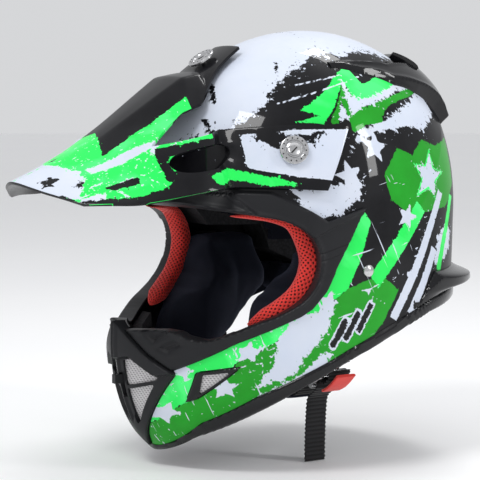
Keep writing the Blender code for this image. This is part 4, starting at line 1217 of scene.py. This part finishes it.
# Plan outlines on the blade: (x, y), the same on both sides
TIP_TEAR = [(0, -250), (22, -247), (46, -236), (58, -222), (46, -210), (26, -213), (0, -221)]
CORNER_TEAR = [(58, -226), (66, -222), (74, -208), (66, -203)]
BLADE_TEAR = [(36, -206), (44, -204), (56, -176), (66, -160), (58, -158), (46, -172)]
BLADE_INK = [(62, -204), (68, -200), (74, -180), (70, -178)]
TIP_STARS = [star(27, -231, 9.5, 14), star(0, -214, 5, 0), star(47, -215, 5.5, -10)]
BLADE_LINES = [band((30, -212), (84, -190), 0.8), band((60, -212), (72, -168), 0.8),
               band((48, -176), (80, -206), 0.7)]
ROOT_TEAR = [(-176, 40), (-150, 54), (-134, 66), (-140, 58), (-168, 44)]
ARM_TEAR = [(-150, 44), (-128, 56), (-112, 57), (-132, 50)]


# Along the blade's lower edge: its height and the width of the dark band on it, at each y
LOWER_EDGE = [(-249, 27), (-230, 16), (-221.5, 11.6), (-205, 13.5), (-186, 12), (-160, 15.5), (-133, 20.5),
              (-102, 23), (-70, 21), (-45, 19.5)]
EDGE_WIDTH = [(-250, 1.0), (-222, 1.8), (-200, 2.6), (-170, 6.0), (-140, 14.0)]


def peak_layers(points):
    x, y, z = np.abs(points[:, 0]), points[:, 1], points[:, 2]
    arm = step_up(y, -122, -112)
    low_band = read_off(EDGE_WIDTH, y) - (z - read_off(LOWER_EDGE, y)) * 0.9 - np.where(x > 45, 0, 30)
    block = np.minimum.reduce([33.5 - x, y + 178 + 0.35 * x, np.full(len(x), 40.0)])
    surround = 3.6 - np.abs(np.maximum(side_of(points, WINDOW), -30))
    around_window = np.where(x > 60, surround, -20)
    back_half = np.minimum(x - 60, y + 112)
    torn_front = np.maximum(inside(x, y, TIP_TEAR), inside(x, y, CORNER_TEAR))
    torn_middle = np.maximum.reduce([inside(x, y, line) for line in [BLADE_TEAR, *BLADE_LINES]])
    side_white = np.maximum(inside(y, z, ROOT_TEAR), np.where(x > 70, inside(y, z, ARM_TEAR), -30))
    plate = np.where(x > 60, side_of(points, PLATE), -30)
    flash = np.where(x > 60, side_of(points, ARM_FLASH), -30)
    ink = np.maximum.reduce([
        np.where(z < 60, low_band, -30), around_window, back_half * 0.8, block,
        np.where(y > -112, 20.0, -30), inside(x, y, BLADE_INK), *[inside(x, y, shape) for shape in TIP_STARS],
    ])
    return {
        "green": np.full(len(x), 30.0) - 60 * arm,
        "splash": np.maximum.reduce([torn_front, torn_middle, side_white]),
        "scratched": 10 - 30 * arm,
        "ink": ink,
        "plate": plate,
        "flash": flash,
        "blots": np.where(x > 60, side_of(points, PLATE_SPLASH), -30),
    }


def peak_hidden(obj):
    """True for each vertex of the underside, judged by its normal."""
    normals = np.array([v.normal for v in obj.data.vertices])
    points = vertices(obj)
    outward = np.stack([points[:, 0] * 0.9, np.zeros(len(points)), points[:, 2] + 40], 1)
    return (normals * outward).sum(1) < 0


def peak():
    obj = peak_mesh()
    fine = obj.modifiers.new("fine", "SUBSURF")
    fine.levels = fine.render_levels = 3
    settle(obj)
    move_to(obj, on_the_form(vertices(obj)))
    wall = obj.modifiers.new("wall", "SOLIDIFY")
    wall.thickness = PEAK_THICKNESS * MM
    wall.offset = -1
    wall.use_even_offset = True
    edge = obj.modifiers.new("edge", "BEVEL")
    edge.width = 0.6 * MM
    edge.segments = 2
    edge.limit_method = "ANGLE"
    edge.angle_limit = math.radians(55)
    settle(obj)
    obj.name = obj.data.name = "peak_visor"
    depths(obj, peak_layers, peak_hidden(obj))
    shade(obj, 32)
    paint = painted("peak_paint", [
        ("green", "green", 1.5, 2), ("scratched", "white", 0, 0), ("splash", "white", 4, 9),
        ("ink", "ink", 2.6, 5), ("plate", "white", 0.6, 6), ("blots", "ink", 7, 16), ("flash", "green", 4, 6),
    ])
    finish_piece(obj, paint, "peak", ["peak"])


def pivot_spot(side):
    spot, normal = on_form(*PIVOT, 1)
    return Vector((side * spot.x, spot.y, spot.z)), Vector((side * normal.x, normal.y, normal.z))


def centre_spot():
    def crown(angle):
        radius = float(cycle(angle, RADII))
        return Vector((0, -radius * math.cos(math.radians(angle)), radius * math.sin(math.radians(angle))))
    along = crown(CENTRE_ANGLE + 3) - crown(CENTRE_ANGLE - 3)
    return crown(CENTRE_ANGLE), Vector((0, -along.z, along.y)).normalized()


# Screw disc: thickness, and the ring of small dots on it as count, circle and height over the face
DISC_THICKNESS = 2.8
DOTS, DOT_CIRCLE, DOT_SINK = 14, 8.9, 0.25
DOT = [(0, 0), (0.62, 0), (0.62, 0.3), (0.4, 0.36), (0, 0.36)]
CENTRE_LIFT, SIDE_LIFT = CROWN_RISE + 2.0, PEAK_RISE + 1.2


def disc_profile(low, top):
    """(radius, height) points of a screw's disc, from its underside over its rim to its middle."""
    return [(0, low), (10.2, low), (11, low + 0.6), (11, top - 0.8), (10.6, top - 0.2), (10, top), (7.6, top),
            (7.2, top - 0.9), (6.2, top - 0.9), (5.8, top - 0.1), (5.2, top + 0.1), (4.6, top - 0.5),
            (3.2, top - 1.2), (0, top - 1.3)]


def screw_marks(label, spot, normal, top):
    """The coin slot and a ring of dots in place of lettering."""
    first = normal.orthogonal().normalized()
    second = normal.cross(first)
    marks = []
    for k in range(DOTS):
        a = 2 * math.pi * k / DOTS
        outward = first * math.cos(a) + second * math.sin(a)
        marks.append(lathe("dot", spot + normal * (top - DOT_SINK) + outward * DOT_CIRCLE, normal, DOT, 12))
    bar = [spot + normal * (top - 1.0) + first * s for s in (-2.8, 2.8)]
    marks.append(sweep("slot", bar, [second] * 2, [normal] * 2, pill(1.0, 0.5, 4, 12)))
    return join(f"screw_marks_{label}", marks)


def peak_screws(steel, dark):
    places = [(label, *pivot_spot(side)) for label, side in SIDES] + [("centre", *centre_spot())]
    for label, spot, normal in places:
        lift = CENTRE_LIFT if label == "centre" else SIDE_LIFT
        top = lift + DISC_THICKNESS
        disc = lathe(f"screw_disc_{label}", spot, normal, disc_profile(lift, top), 72)
        bolt = [(0, lift + 0.5), (2.5, lift + 0.5), (2.5, -11), (2, -12), (0, -12)]
        head = join(f"screw_disc_{label}", [disc, lathe("shank", spot, normal, bolt, 24)])
        body = f"peak_screw_{label}"
        finish_piece(head, steel, body, [body])
        finish_piece(screw_marks(label, spot, normal, top), dark, body)


# ---- Lining ----

HEAD_CENTRE = (0.0, 12.0, 2.0)
HEAD_RADII = (76.0, 97.0, 104.0)
LINER_THICKNESS = 8.0
LINER_EDGE = [(-200, 27), (-70, 27), (-40, -4), (8, -18), (26, -20), (34, -40), (60, -46), (200, -46)]


def comfort_liner(fabric):
    """The crown lining: puffed panels between sewn channels, over the head's form."""
    turns, rows = 160, 70
    angle, row = (g.ravel() for g in np.meshgrid(np.linspace(0, 2 * math.pi, turns, endpoint=False),
                                                 np.linspace(-0.62, 1.56, rows), indexing="ij"))

    def layer(grow):
        level = np.maximum(np.cos(row), 0.02)
        level = np.where(row < 0, 1.0, level)
        height = np.where(row < 0, row * 60, (HEAD_RADII[2] + grow) * np.sin(row))
        return np.stack([
            HEAD_CENTRE[0] + (HEAD_RADII[0] + grow) * level * np.cos(angle),
            HEAD_CENTRE[1] + (HEAD_RADII[1] + grow) * level * np.sin(angle),
            HEAD_CENTRE[2] + height,
        ], 1)

    outer = layer(LINER_THICKNESS - 0.4)
    keep = (outer[:, 2] > read_off(LINER_EDGE, outer[:, 1])) & (-side_of(outer, PORT_CURVE) > 13)
    channel = np.minimum(np.abs((angle / (2 * math.pi) * 8 + 0.5) % 1 - 0.5) * 60, np.abs(row - 0.55) * 95)
    puff = 1.8 * np.exp(-channel / 2.2)
    inner = layer(0.0) + (layer(1.0) - layer(0.0)) * puff[:, None]
    quads = []
    for i in range(turns):
        for k in range(rows - 1):
            a, b = i * rows + k, (i + 1) % turns * rows + k
            if keep[[a, b, a + 1, b + 1]].all():
                quads.append((a, b, b + 1, a + 1))
    obj = make("crown_lining", *between(outer, inner, np.array(quads)))
    work = bmesh.new()
    work.from_mesh(obj.data)
    bmesh.ops.delete(work, geom=[v for v in work.verts if not v.link_faces], context="VERTS")
    work.to_mesh(obj.data)
    work.free()
    finish_piece(obj, fabric, "helmet", ["comfort_liner"])


def swollen(name, node, shrink, voxel, reach):
    """A padded copy of a CAD solid: remeshed, blown up as cloth, and held to this much movement in mm."""
    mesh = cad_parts[node].data.copy()
    obj = linked(name, mesh)
    work = bmesh.new()
    work.from_mesh(mesh)
    bmesh.ops.remove_doubles(work, verts=work.verts, dist=0.01 * MM)
    work.normal_update()
    work.to_mesh(mesh)
    work.free()
    mesh.validate()
    remesh(obj, voxel)
    thinner = obj.modifiers.new("thinner", "DISPLACE")
    thinner.strength = -shrink * MM
    thinner.mid_level = 0
    soften = obj.modifiers.new("soften", "SMOOTH")
    soften.iterations = 12
    soften.factor = 0.6
    settle(obj)
    blow(obj, reach)
    fine = obj.modifiers.new("fine", "SUBSURF")
    fine.levels = fine.render_levels = 1
    settle(obj)
    shade(obj, 70)
    return obj


def remesh(obj, voxel):
    change = obj.modifiers.new("remesh", "REMESH")
    change.mode = "VOXEL"
    change.voxel_size = voxel * MM
    settle(obj)


PRESSURE, CLOTH_FRAMES = 4, 20


def blow(obj, reach):
    """Cloth under pressure for some frames, with each point's movement capped."""
    scene = bpy.context.scene
    before = vertices(obj)
    cloth = obj.modifiers.new("cloth", "CLOTH")
    cloth.settings.use_pressure = True
    cloth.settings.uniform_pressure_force = PRESSURE
    cloth.settings.effector_weights.gravity = 0
    cloth.settings.quality = 4
    for number in range(1, CLOTH_FRAMES + 1):
        scene.frame_set(number)
    settle(obj)
    scene.frame_set(1)
    shift = vertices(obj) - before
    size = np.linalg.norm(shift, axis=1, keepdims=True)
    move_to(obj, before + shift * np.minimum(1, reach / np.maximum(size, 1e-9)))


# How far the cheek cushions are filled out, towards the middle and downwards
PLUMP = (18.0, 13.0)


def plump(pad):
    """Fills the cushion out towards the wearer's jaw."""
    points = vertices(pad)
    low = step_up(-points[:, 2], 36, 62) * step_up(points[:, 1], -78, -58)
    inner = step_up(-np.abs(points[:, 0]), -84, -70)
    points[:, 0] -= np.sign(points[:, 0]) * PLUMP[0] * low * inner
    points[:, 2] -= PLUMP[1] * step_up(-points[:, 2], 74, 92) * step_up(-np.abs(points[:, 0]), -92, -80)
    move_to(pad, points)


def pads(fabric):
    for label, _ in SIDES:
        pad = swollen(f"cheek_cushion_{label}", f"cheek_pad_{label}", 2.2, 5.0, 5.0)
        plump(pad)
        finish_piece(pad, fabric, "helmet", [f"cheek_pad_{label}"])
    roll = swollen("neck_cushion", "neck_roll", 1.4, 4.0, 4.0)
    finish_piece(roll, fabric, "helmet", ["neck_roll"])


def lining_face(_, depth):
    return -12.0 + rounded_edge(depth, 4.0, 4.0)


def lining_back(points):
    return -24.0 - 2.0 * np.sin(points[:, 1] / 6)


def lower_linings(fabric):
    """The fabric skirt between the cheek pads and the neck roll, down to the shell's edge."""
    for label, side in SIDES:
        def depth(points, side=side):
            x, y, z = points[..., 0] * side, points[..., 1], points[..., 2]
            return np.where(x > 0, np.minimum.reduce([z - base_height(y) + 3, -58 - z, 66 - y, y + 46]), -99)

        lanes = lanes_on(side, 0.1, 0.98)
        panel = skin(f"lower_lining_{label}", depth, lining_face, lining_back, (215, 310), lanes, 1.2, 70)
        finish_piece(panel, fabric, "helmet")


# Middle of the band in the side view and its width there: (y, z, width)
BAND_LINE = [
    (-110, 1.6, 4), (-95, 0.6, 4), (-82, -2, 5), (-69, -7, 8), (-58.5, -15, 12), (-52, -24, 14),
    (-50, -34, 14.5), (-52.5, -48, 14.5), (-61, -61.5, 14), (-76, -72.5, 13), (-100, -85, 11),
]
PORT_MIDDLE = (-95.0, -42.0)
BAND_EDGE = 4.5
BAND_TAPER, BAND_STEP = 14.0, 0.35
BAND_OUT, BAND_IN = -11.5, -27.0
HOLE_PITCH, HOLE_DEPTH = 2.3, 0.7


def floats(obj, name):
    """The values of a point attribute."""
    values = np.zeros(len(obj.data.vertices), np.float32)
    obj.data.attributes[name].data.foreach_get("value", values)
    return values


def mesh_bands(fabric):
    """Red spacer fabric round the eye port, with rows of holes dented into it, which the material darkens with
    painted shade.
    """
    knots = []
    for y, z, width in BAND_LINE:
        inward = (Vector(PORT_MIDDLE) - Vector((y, z))).normalized() * max(0.0, width / 2 - BAND_EDGE)
        knots.append((width, y + inward.x, z + inward.y))
    line = even(curve(knots, 8, closed=False), BAND_STEP)
    reach = np.arange(len(line)) * BAND_STEP
    taper = np.sqrt(np.clip(np.minimum(reach, reach[::-1]) / BAND_TAPER, 0.04, 1))
    thick = BAND_OUT - BAND_IN
    section = np.array([pill(width * t, thick * t, 2.8, 96) for t, (width, _, _) in zip(taper, line)])
    for label, side in SIDES:
        placed = [on_form(y, z, side) for _, y, z in line]
        centres = np.array([p + n * ((BAND_OUT + BAND_IN) / 2) for p, n in placed])
        ups = np.array([n for _, n in placed])
        run = directions(centres)
        sides = np.cross(run, ups)
        sides /= np.linalg.norm(sides, axis=1, keepdims=True)
        band = sweep(f"port_mesh_{label}", centres, sides, ups, section, smooth_angle=80)
        wave = np.cos(math.pi * floats(band, "along") / HOLE_PITCH)
        wave = wave * np.cos(math.pi * floats(band, "over") / (HOLE_PITCH * 0.9))
        hole_dent_and_shade = step_up(wave, 0.25, 0.6)
        normals = np.array([v.normal for v in band.data.vertices])
        move_to(band, vertices(band) - normals * hole_dent_and_shade[:, None] * HOLE_DEPTH)
        # The same mask darkens the holes in the material: painted shade.
        store(band, "hole_dent_and_shade", hole_dent_and_shade)
        finish_piece(band, fabric, "helmet", [f"cheek_mesh_{label}"])


def red_fabric():
    """Knitted red spacer mesh, its holes coloured near black as painted shade."""
    cloth = Surface("red_spacer_mesh", 0.7, Sheen_Weight=0.2, Specular_IOR_Level=0.25)
    yarn = cloth.noise(2200, 3, 0.6)
    shown = cloth.mix(yarn, (0.66, 0.022, 0.018), (0.86, 0.06, 0.045))
    # Painted shade: the dented holes are coloured near black.
    cloth.colour(cloth.mix(cloth.ramp(cloth.attribute("hole_dent_and_shade"), 0.25, 0.75), shown, (0.05, 0.003, 0.003)))
    cloth.bump(yarn, 0.2, 0.8)
    return cloth.material


# ---- Chin strap ----

WEB_WIDTH, WEB_THICKNESS = 20.0, 1.8
STRAP_Y, STRAP_X = -12.0, 112.0
BUCKLE, PULL = (70.0, -131.0), (0.87, 0.5)
RIVET = (-8.0, -43.0)


def buckle_point(along, out):
    return (BUCKLE[0] + PULL[0] * along - PULL[1] * out, BUCKLE[1] + PULL[1] * along + PULL[0] * out)


SHORT_STRAP = [
    (STRAP_X, -29), (STRAP_X + 0.5, -43), (STRAP_X - 1.5, -76), (106.5, -97), buckle_point(26, 2.5),
    buckle_point(16, 4.6), buckle_point(9.5, 4.2), buckle_point(5.8, 1.2), buckle_point(4.6, -2.5),
    buckle_point(5.8, -6.4), buckle_point(9.5, -9.2), buckle_point(15, -8.6), buckle_point(22, -4.2),
]
LONG_STRAP = [
    (-STRAP_X, -29), (-STRAP_X - 0.5, -43), (-STRAP_X + 1.5, -76), (-106, -99), (-90, -121), (-60, -137),
    (-22, -148), (14, -152), (42, -148.5), buckle_point(-13, 5.2), buckle_point(-5, 4.2), buckle_point(0, 0.5),
    buckle_point(0.5, -4), buckle_point(-2.5, -7.8), buckle_point(-9, -9.2), buckle_point(-15.5, -9.8),
    buckle_point(-20, -12.8), (57.5, -164), (56.5, -182), (56, -201),
]
PULL_TAB = [buckle_point(*p) for p in ((2.5, -12.6), (10, -13.2), (18, -12.4), (27, -10.6))]
RIB_PITCH, NOTCH, RIB_DEPTH = 3.4, 1.5, 0.5
# D-ring: half width, how far its bar and its bow stand from its middle, and its wire's radius
RING_HALF, RING_BAR, RING_BOW, RING_WIRE = 13.5, 9.6, 12.0, 1.5
RIVET_DOME = [(0, 2.6), (1.8, 2.5), (3.4, 2.0), (4.5, 1.2), (4.8, 0.5), (4.6, 0.2), (2.2, 0.0), (2.2, -6),
              (0, -6)]


def web(name, path, width, thickness, spacing=0.4, ribbed=True):
    """A flat woven strap along a path in the XZ plane, ribbed across and notched along its edges."""
    line = even(curve(path, 24, closed=False), spacing)
    centres = np.stack([line[:, 0], np.full(len(line), STRAP_Y), line[:, 1]], 1)
    run = directions(centres)
    across = np.tile([0.0, 1.0, 0.0], (len(line), 1))
    ups = np.cross(run, across)
    along = np.arange(len(line)) * spacing
    wave = 0.5 + 0.5 * np.cos(2 * math.pi * along / RIB_PITCH) if ribbed else np.zeros(len(line))
    base = np.array(pill(1, 1, 6, 28))
    section = np.stack([
        base * [width - NOTCH * (1 - w) * ribbed, thickness - RIB_DEPTH * (1 - w) * ribbed] for w in wave
    ])
    obj = sweep(name, centres, across, ups, section, smooth_angle=60)
    if len(obj.data.vertices) == len(line) * len(base):
        store(obj, "ribs", np.repeat(wave, len(base)))
    return obj


def d_ring(name, out):
    """A wire ring with a straight bar and a bow."""
    loop = [(RING_BAR, -RING_HALF + 2 * RING_HALF * k / 8) for k in range(9)]
    for k in range(1, 24):
        turn = math.pi * k / 24
        loop.append((RING_BAR - (RING_BAR + RING_BOW) * math.sin(turn) ** 0.45, RING_HALF * math.cos(turn)))
    centres = []
    for along, across in loop:
        x, z = buckle_point(along, out)
        centres.append((x, STRAP_Y + across, z))
    centres = np.array(centres)
    run = np.roll(centres, -1, 0) - np.roll(centres, 1, 0)
    run /= np.linalg.norm(run, axis=1, keepdims=True)
    up = np.tile([-PULL[1], 0.0, PULL[0]], (len(centres), 1))
    return sweep(name, centres, np.cross(run, up), up, pill(2 * RING_WIRE, 2 * RING_WIRE, 2, 14), closed=True)


def chin_strap(webbing, red, steel, fabric):
    strap = web("strap_short", SHORT_STRAP, WEB_WIDTH, WEB_THICKNESS)
    finish_piece(strap, webbing, "helmet", ["chin_strap_short"])
    strap = web("strap_long", LONG_STRAP, WEB_WIDTH, WEB_THICKNESS)
    finish_piece(strap, webbing, "helmet", ["chin_strap_long"])
    for label, out in (("inner", 0.2), ("outer", -4.2)):
        finish_piece(d_ring(f"wire_ring_{label}", out), steel, "helmet", [f"d_ring_{label}"])
    tab = web("red_tab", PULL_TAB, 18, 2.4, 0.6, ribbed=False)
    finish_piece(tab, red, "pull_tab", ["pull_tab"])
    sleeve = swollen("strap_pad", "strap_sleeve", 0.8, 2.5, 2.0)
    finish_piece(sleeve, fabric, "helmet", ["strap_sleeve"])
    for label, side in SIDES:
        centre = (side * float(width_at(*RIVET)), *RIVET)
        head = lathe(f"rivet_head_{label}", centre, (side, 0, 0), RIVET_DOME, 40)
        finish_piece(head, steel, "helmet", [f"strap_rivet_{label}"])


def tab_fabric():
    """Red folded tape with fine threads."""
    cloth = Surface("red_tape", 0.6, Sheen_Weight=0.2, Specular_IOR_Level=0.3)
    threads = cloth.noise(1500, 3, 0.6)
    cloth.colour(cloth.mix(threads, (0.62, 0.022, 0.016), (0.86, 0.06, 0.045)))
    cloth.bump(threads, 0.15, 0.8)
    return cloth.material


def cad_finishes(foam_grey, steel, black_rubber, black):
    """Procedural materials for the CAD nodes that show as they are."""
    for names, material in (
        (("eps_liner", "chin_eps", "mouth_vent_filter"), foam_grey),
        (("cheek_snap_left", "cheek_snap_right", "strap_anchor_left", "strap_anchor_right", "peak_nut_left",
          "peak_nut_right", "peak_nut_centre"), steel),
        (("peak_washer_left", "peak_washer_right", "peak_washer_centre"), black_rubber),
        (("mouth_vent_shutter",), black),
    ):
        for name in names:
            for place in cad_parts[name].material_slots:
                place.material = material


# ---- Camera, light and floor ----

VIEW_AZIMUTH, VIEW_ELEVATION = 58.0, 5.0
VIEW_RIGHT, VIEW_UP, VIEW_DISTANCE, VIEW_LENS = -0.04018, -0.0287, 1.5, 137.2
FLOOR_GAP, FLOOR_RADIUS, FLOOR_SIDES = 0.0005, 9.0, 64


def back_vector(azimuth, elevation):
    a, e = math.radians(azimuth), math.radians(elevation)
    return Vector((math.sin(a) * math.cos(e), -math.cos(a) * math.cos(e), math.sin(e)))


def camera():
    back = back_vector(VIEW_AZIMUTH, VIEW_ELEVATION)
    right = Vector((math.cos(math.radians(VIEW_AZIMUTH)), math.sin(math.radians(VIEW_AZIMUTH)), 0))
    up = back.cross(right)
    data = bpy.data.cameras.new("camera")
    data.lens = VIEW_LENS
    data.sensor_width = 36.0
    obj = linked("camera", data)
    obj.location = right * VIEW_RIGHT + up * VIEW_UP + back * VIEW_DISTANCE
    obj.rotation_mode = "QUATERNION"
    obj.rotation_quaternion = (-back).to_track_quat("-Z", "Y")
    bpy.context.scene.camera = obj


def softbox(name, azimuth, elevation, distance, size, power):
    data = bpy.data.lights.new(name, "AREA")
    data.shape = "RECTANGLE"
    data.size, data.size_y = size
    data.energy = power
    obj = linked(name, data)
    direction = back_vector(azimuth, elevation)
    obj.location = direction * distance
    obj.rotation_mode = "QUATERNION"
    obj.rotation_quaternion = direction.to_track_quat("Z", "Y")


def studio():
    world = bpy.data.worlds.new("studio")
    bpy.context.scene.world = world
    world.use_nodes = True
    world.node_tree.nodes["Background"].inputs["Color"].default_value = (0.93, 0.94, 0.96, 1)
    world.node_tree.nodes["Background"].inputs["Strength"].default_value = 0.72
    softbox("key", 20, 50, 1.6, (0.55, 0.3), 9.5)
    softbox("side", 122, 25, 1.7, (0.16, 0.8), 7)
    softbox("top", 200, 66, 1.5, (0.6, 0.25), 6.5)
    low = CAD_BOX[0].z - FLOOR_GAP
    turns = [2 * math.pi * k / FLOOR_SIDES for k in range(FLOOR_SIDES)]
    mesh = bpy.data.meshes.new("floor")
    rim = [(FLOOR_RADIUS * math.cos(a), FLOOR_RADIUS * math.sin(a), low) for a in turns]
    mesh.from_pydata(rim, [], [tuple(range(FLOOR_SIDES))])
    floor = linked("floor", mesh)
    ground = Surface("floor", 0.7)
    ground.colour(ground.mix(ground.noise(3, 2), (0.93, 0.93, 0.94), (0.96, 0.96, 0.96)))
    floor.data.materials.append(ground.material)
    bpy.context.scene.view_settings.view_transform = "Standard"


def main():
    camera()
    studio()
    satin_black, gloss_black = satin("satin_black"), gloss("gloss_black")
    mesh, steel, lining = wire_mesh("woven_wire"), metal("bright_steel"), velour("velour")
    outer_shell()
    eyeport_trim(satin_black)
    base_trim(gloss_black)
    mouth_vent(satin_black, mesh)
    side_vents(gloss_black, mesh)
    rear_spoiler(gloss_black)
    nape_spoiler(gloss_black)
    rear_exhausts(gloss_black)
    brow_vents(satin_black)
    peak()
    peak_screws(steel, metal("dark_steel", (0.05, 0.05, 0.05), 0.4))
    comfort_liner(lining)
    pads(lining)
    lower_linings(lining)
    mesh_bands(red_fabric())
    webbing = tape("black_webbing", (0.003, 0.003, 0.0035), (0.018, 0.018, 0.02))
    chin_strap(webbing, tab_fabric(), steel, lining)
    cad_finishes(foam("grey_foam"), steel, rubber("black_rubber"), satin_black)


main()
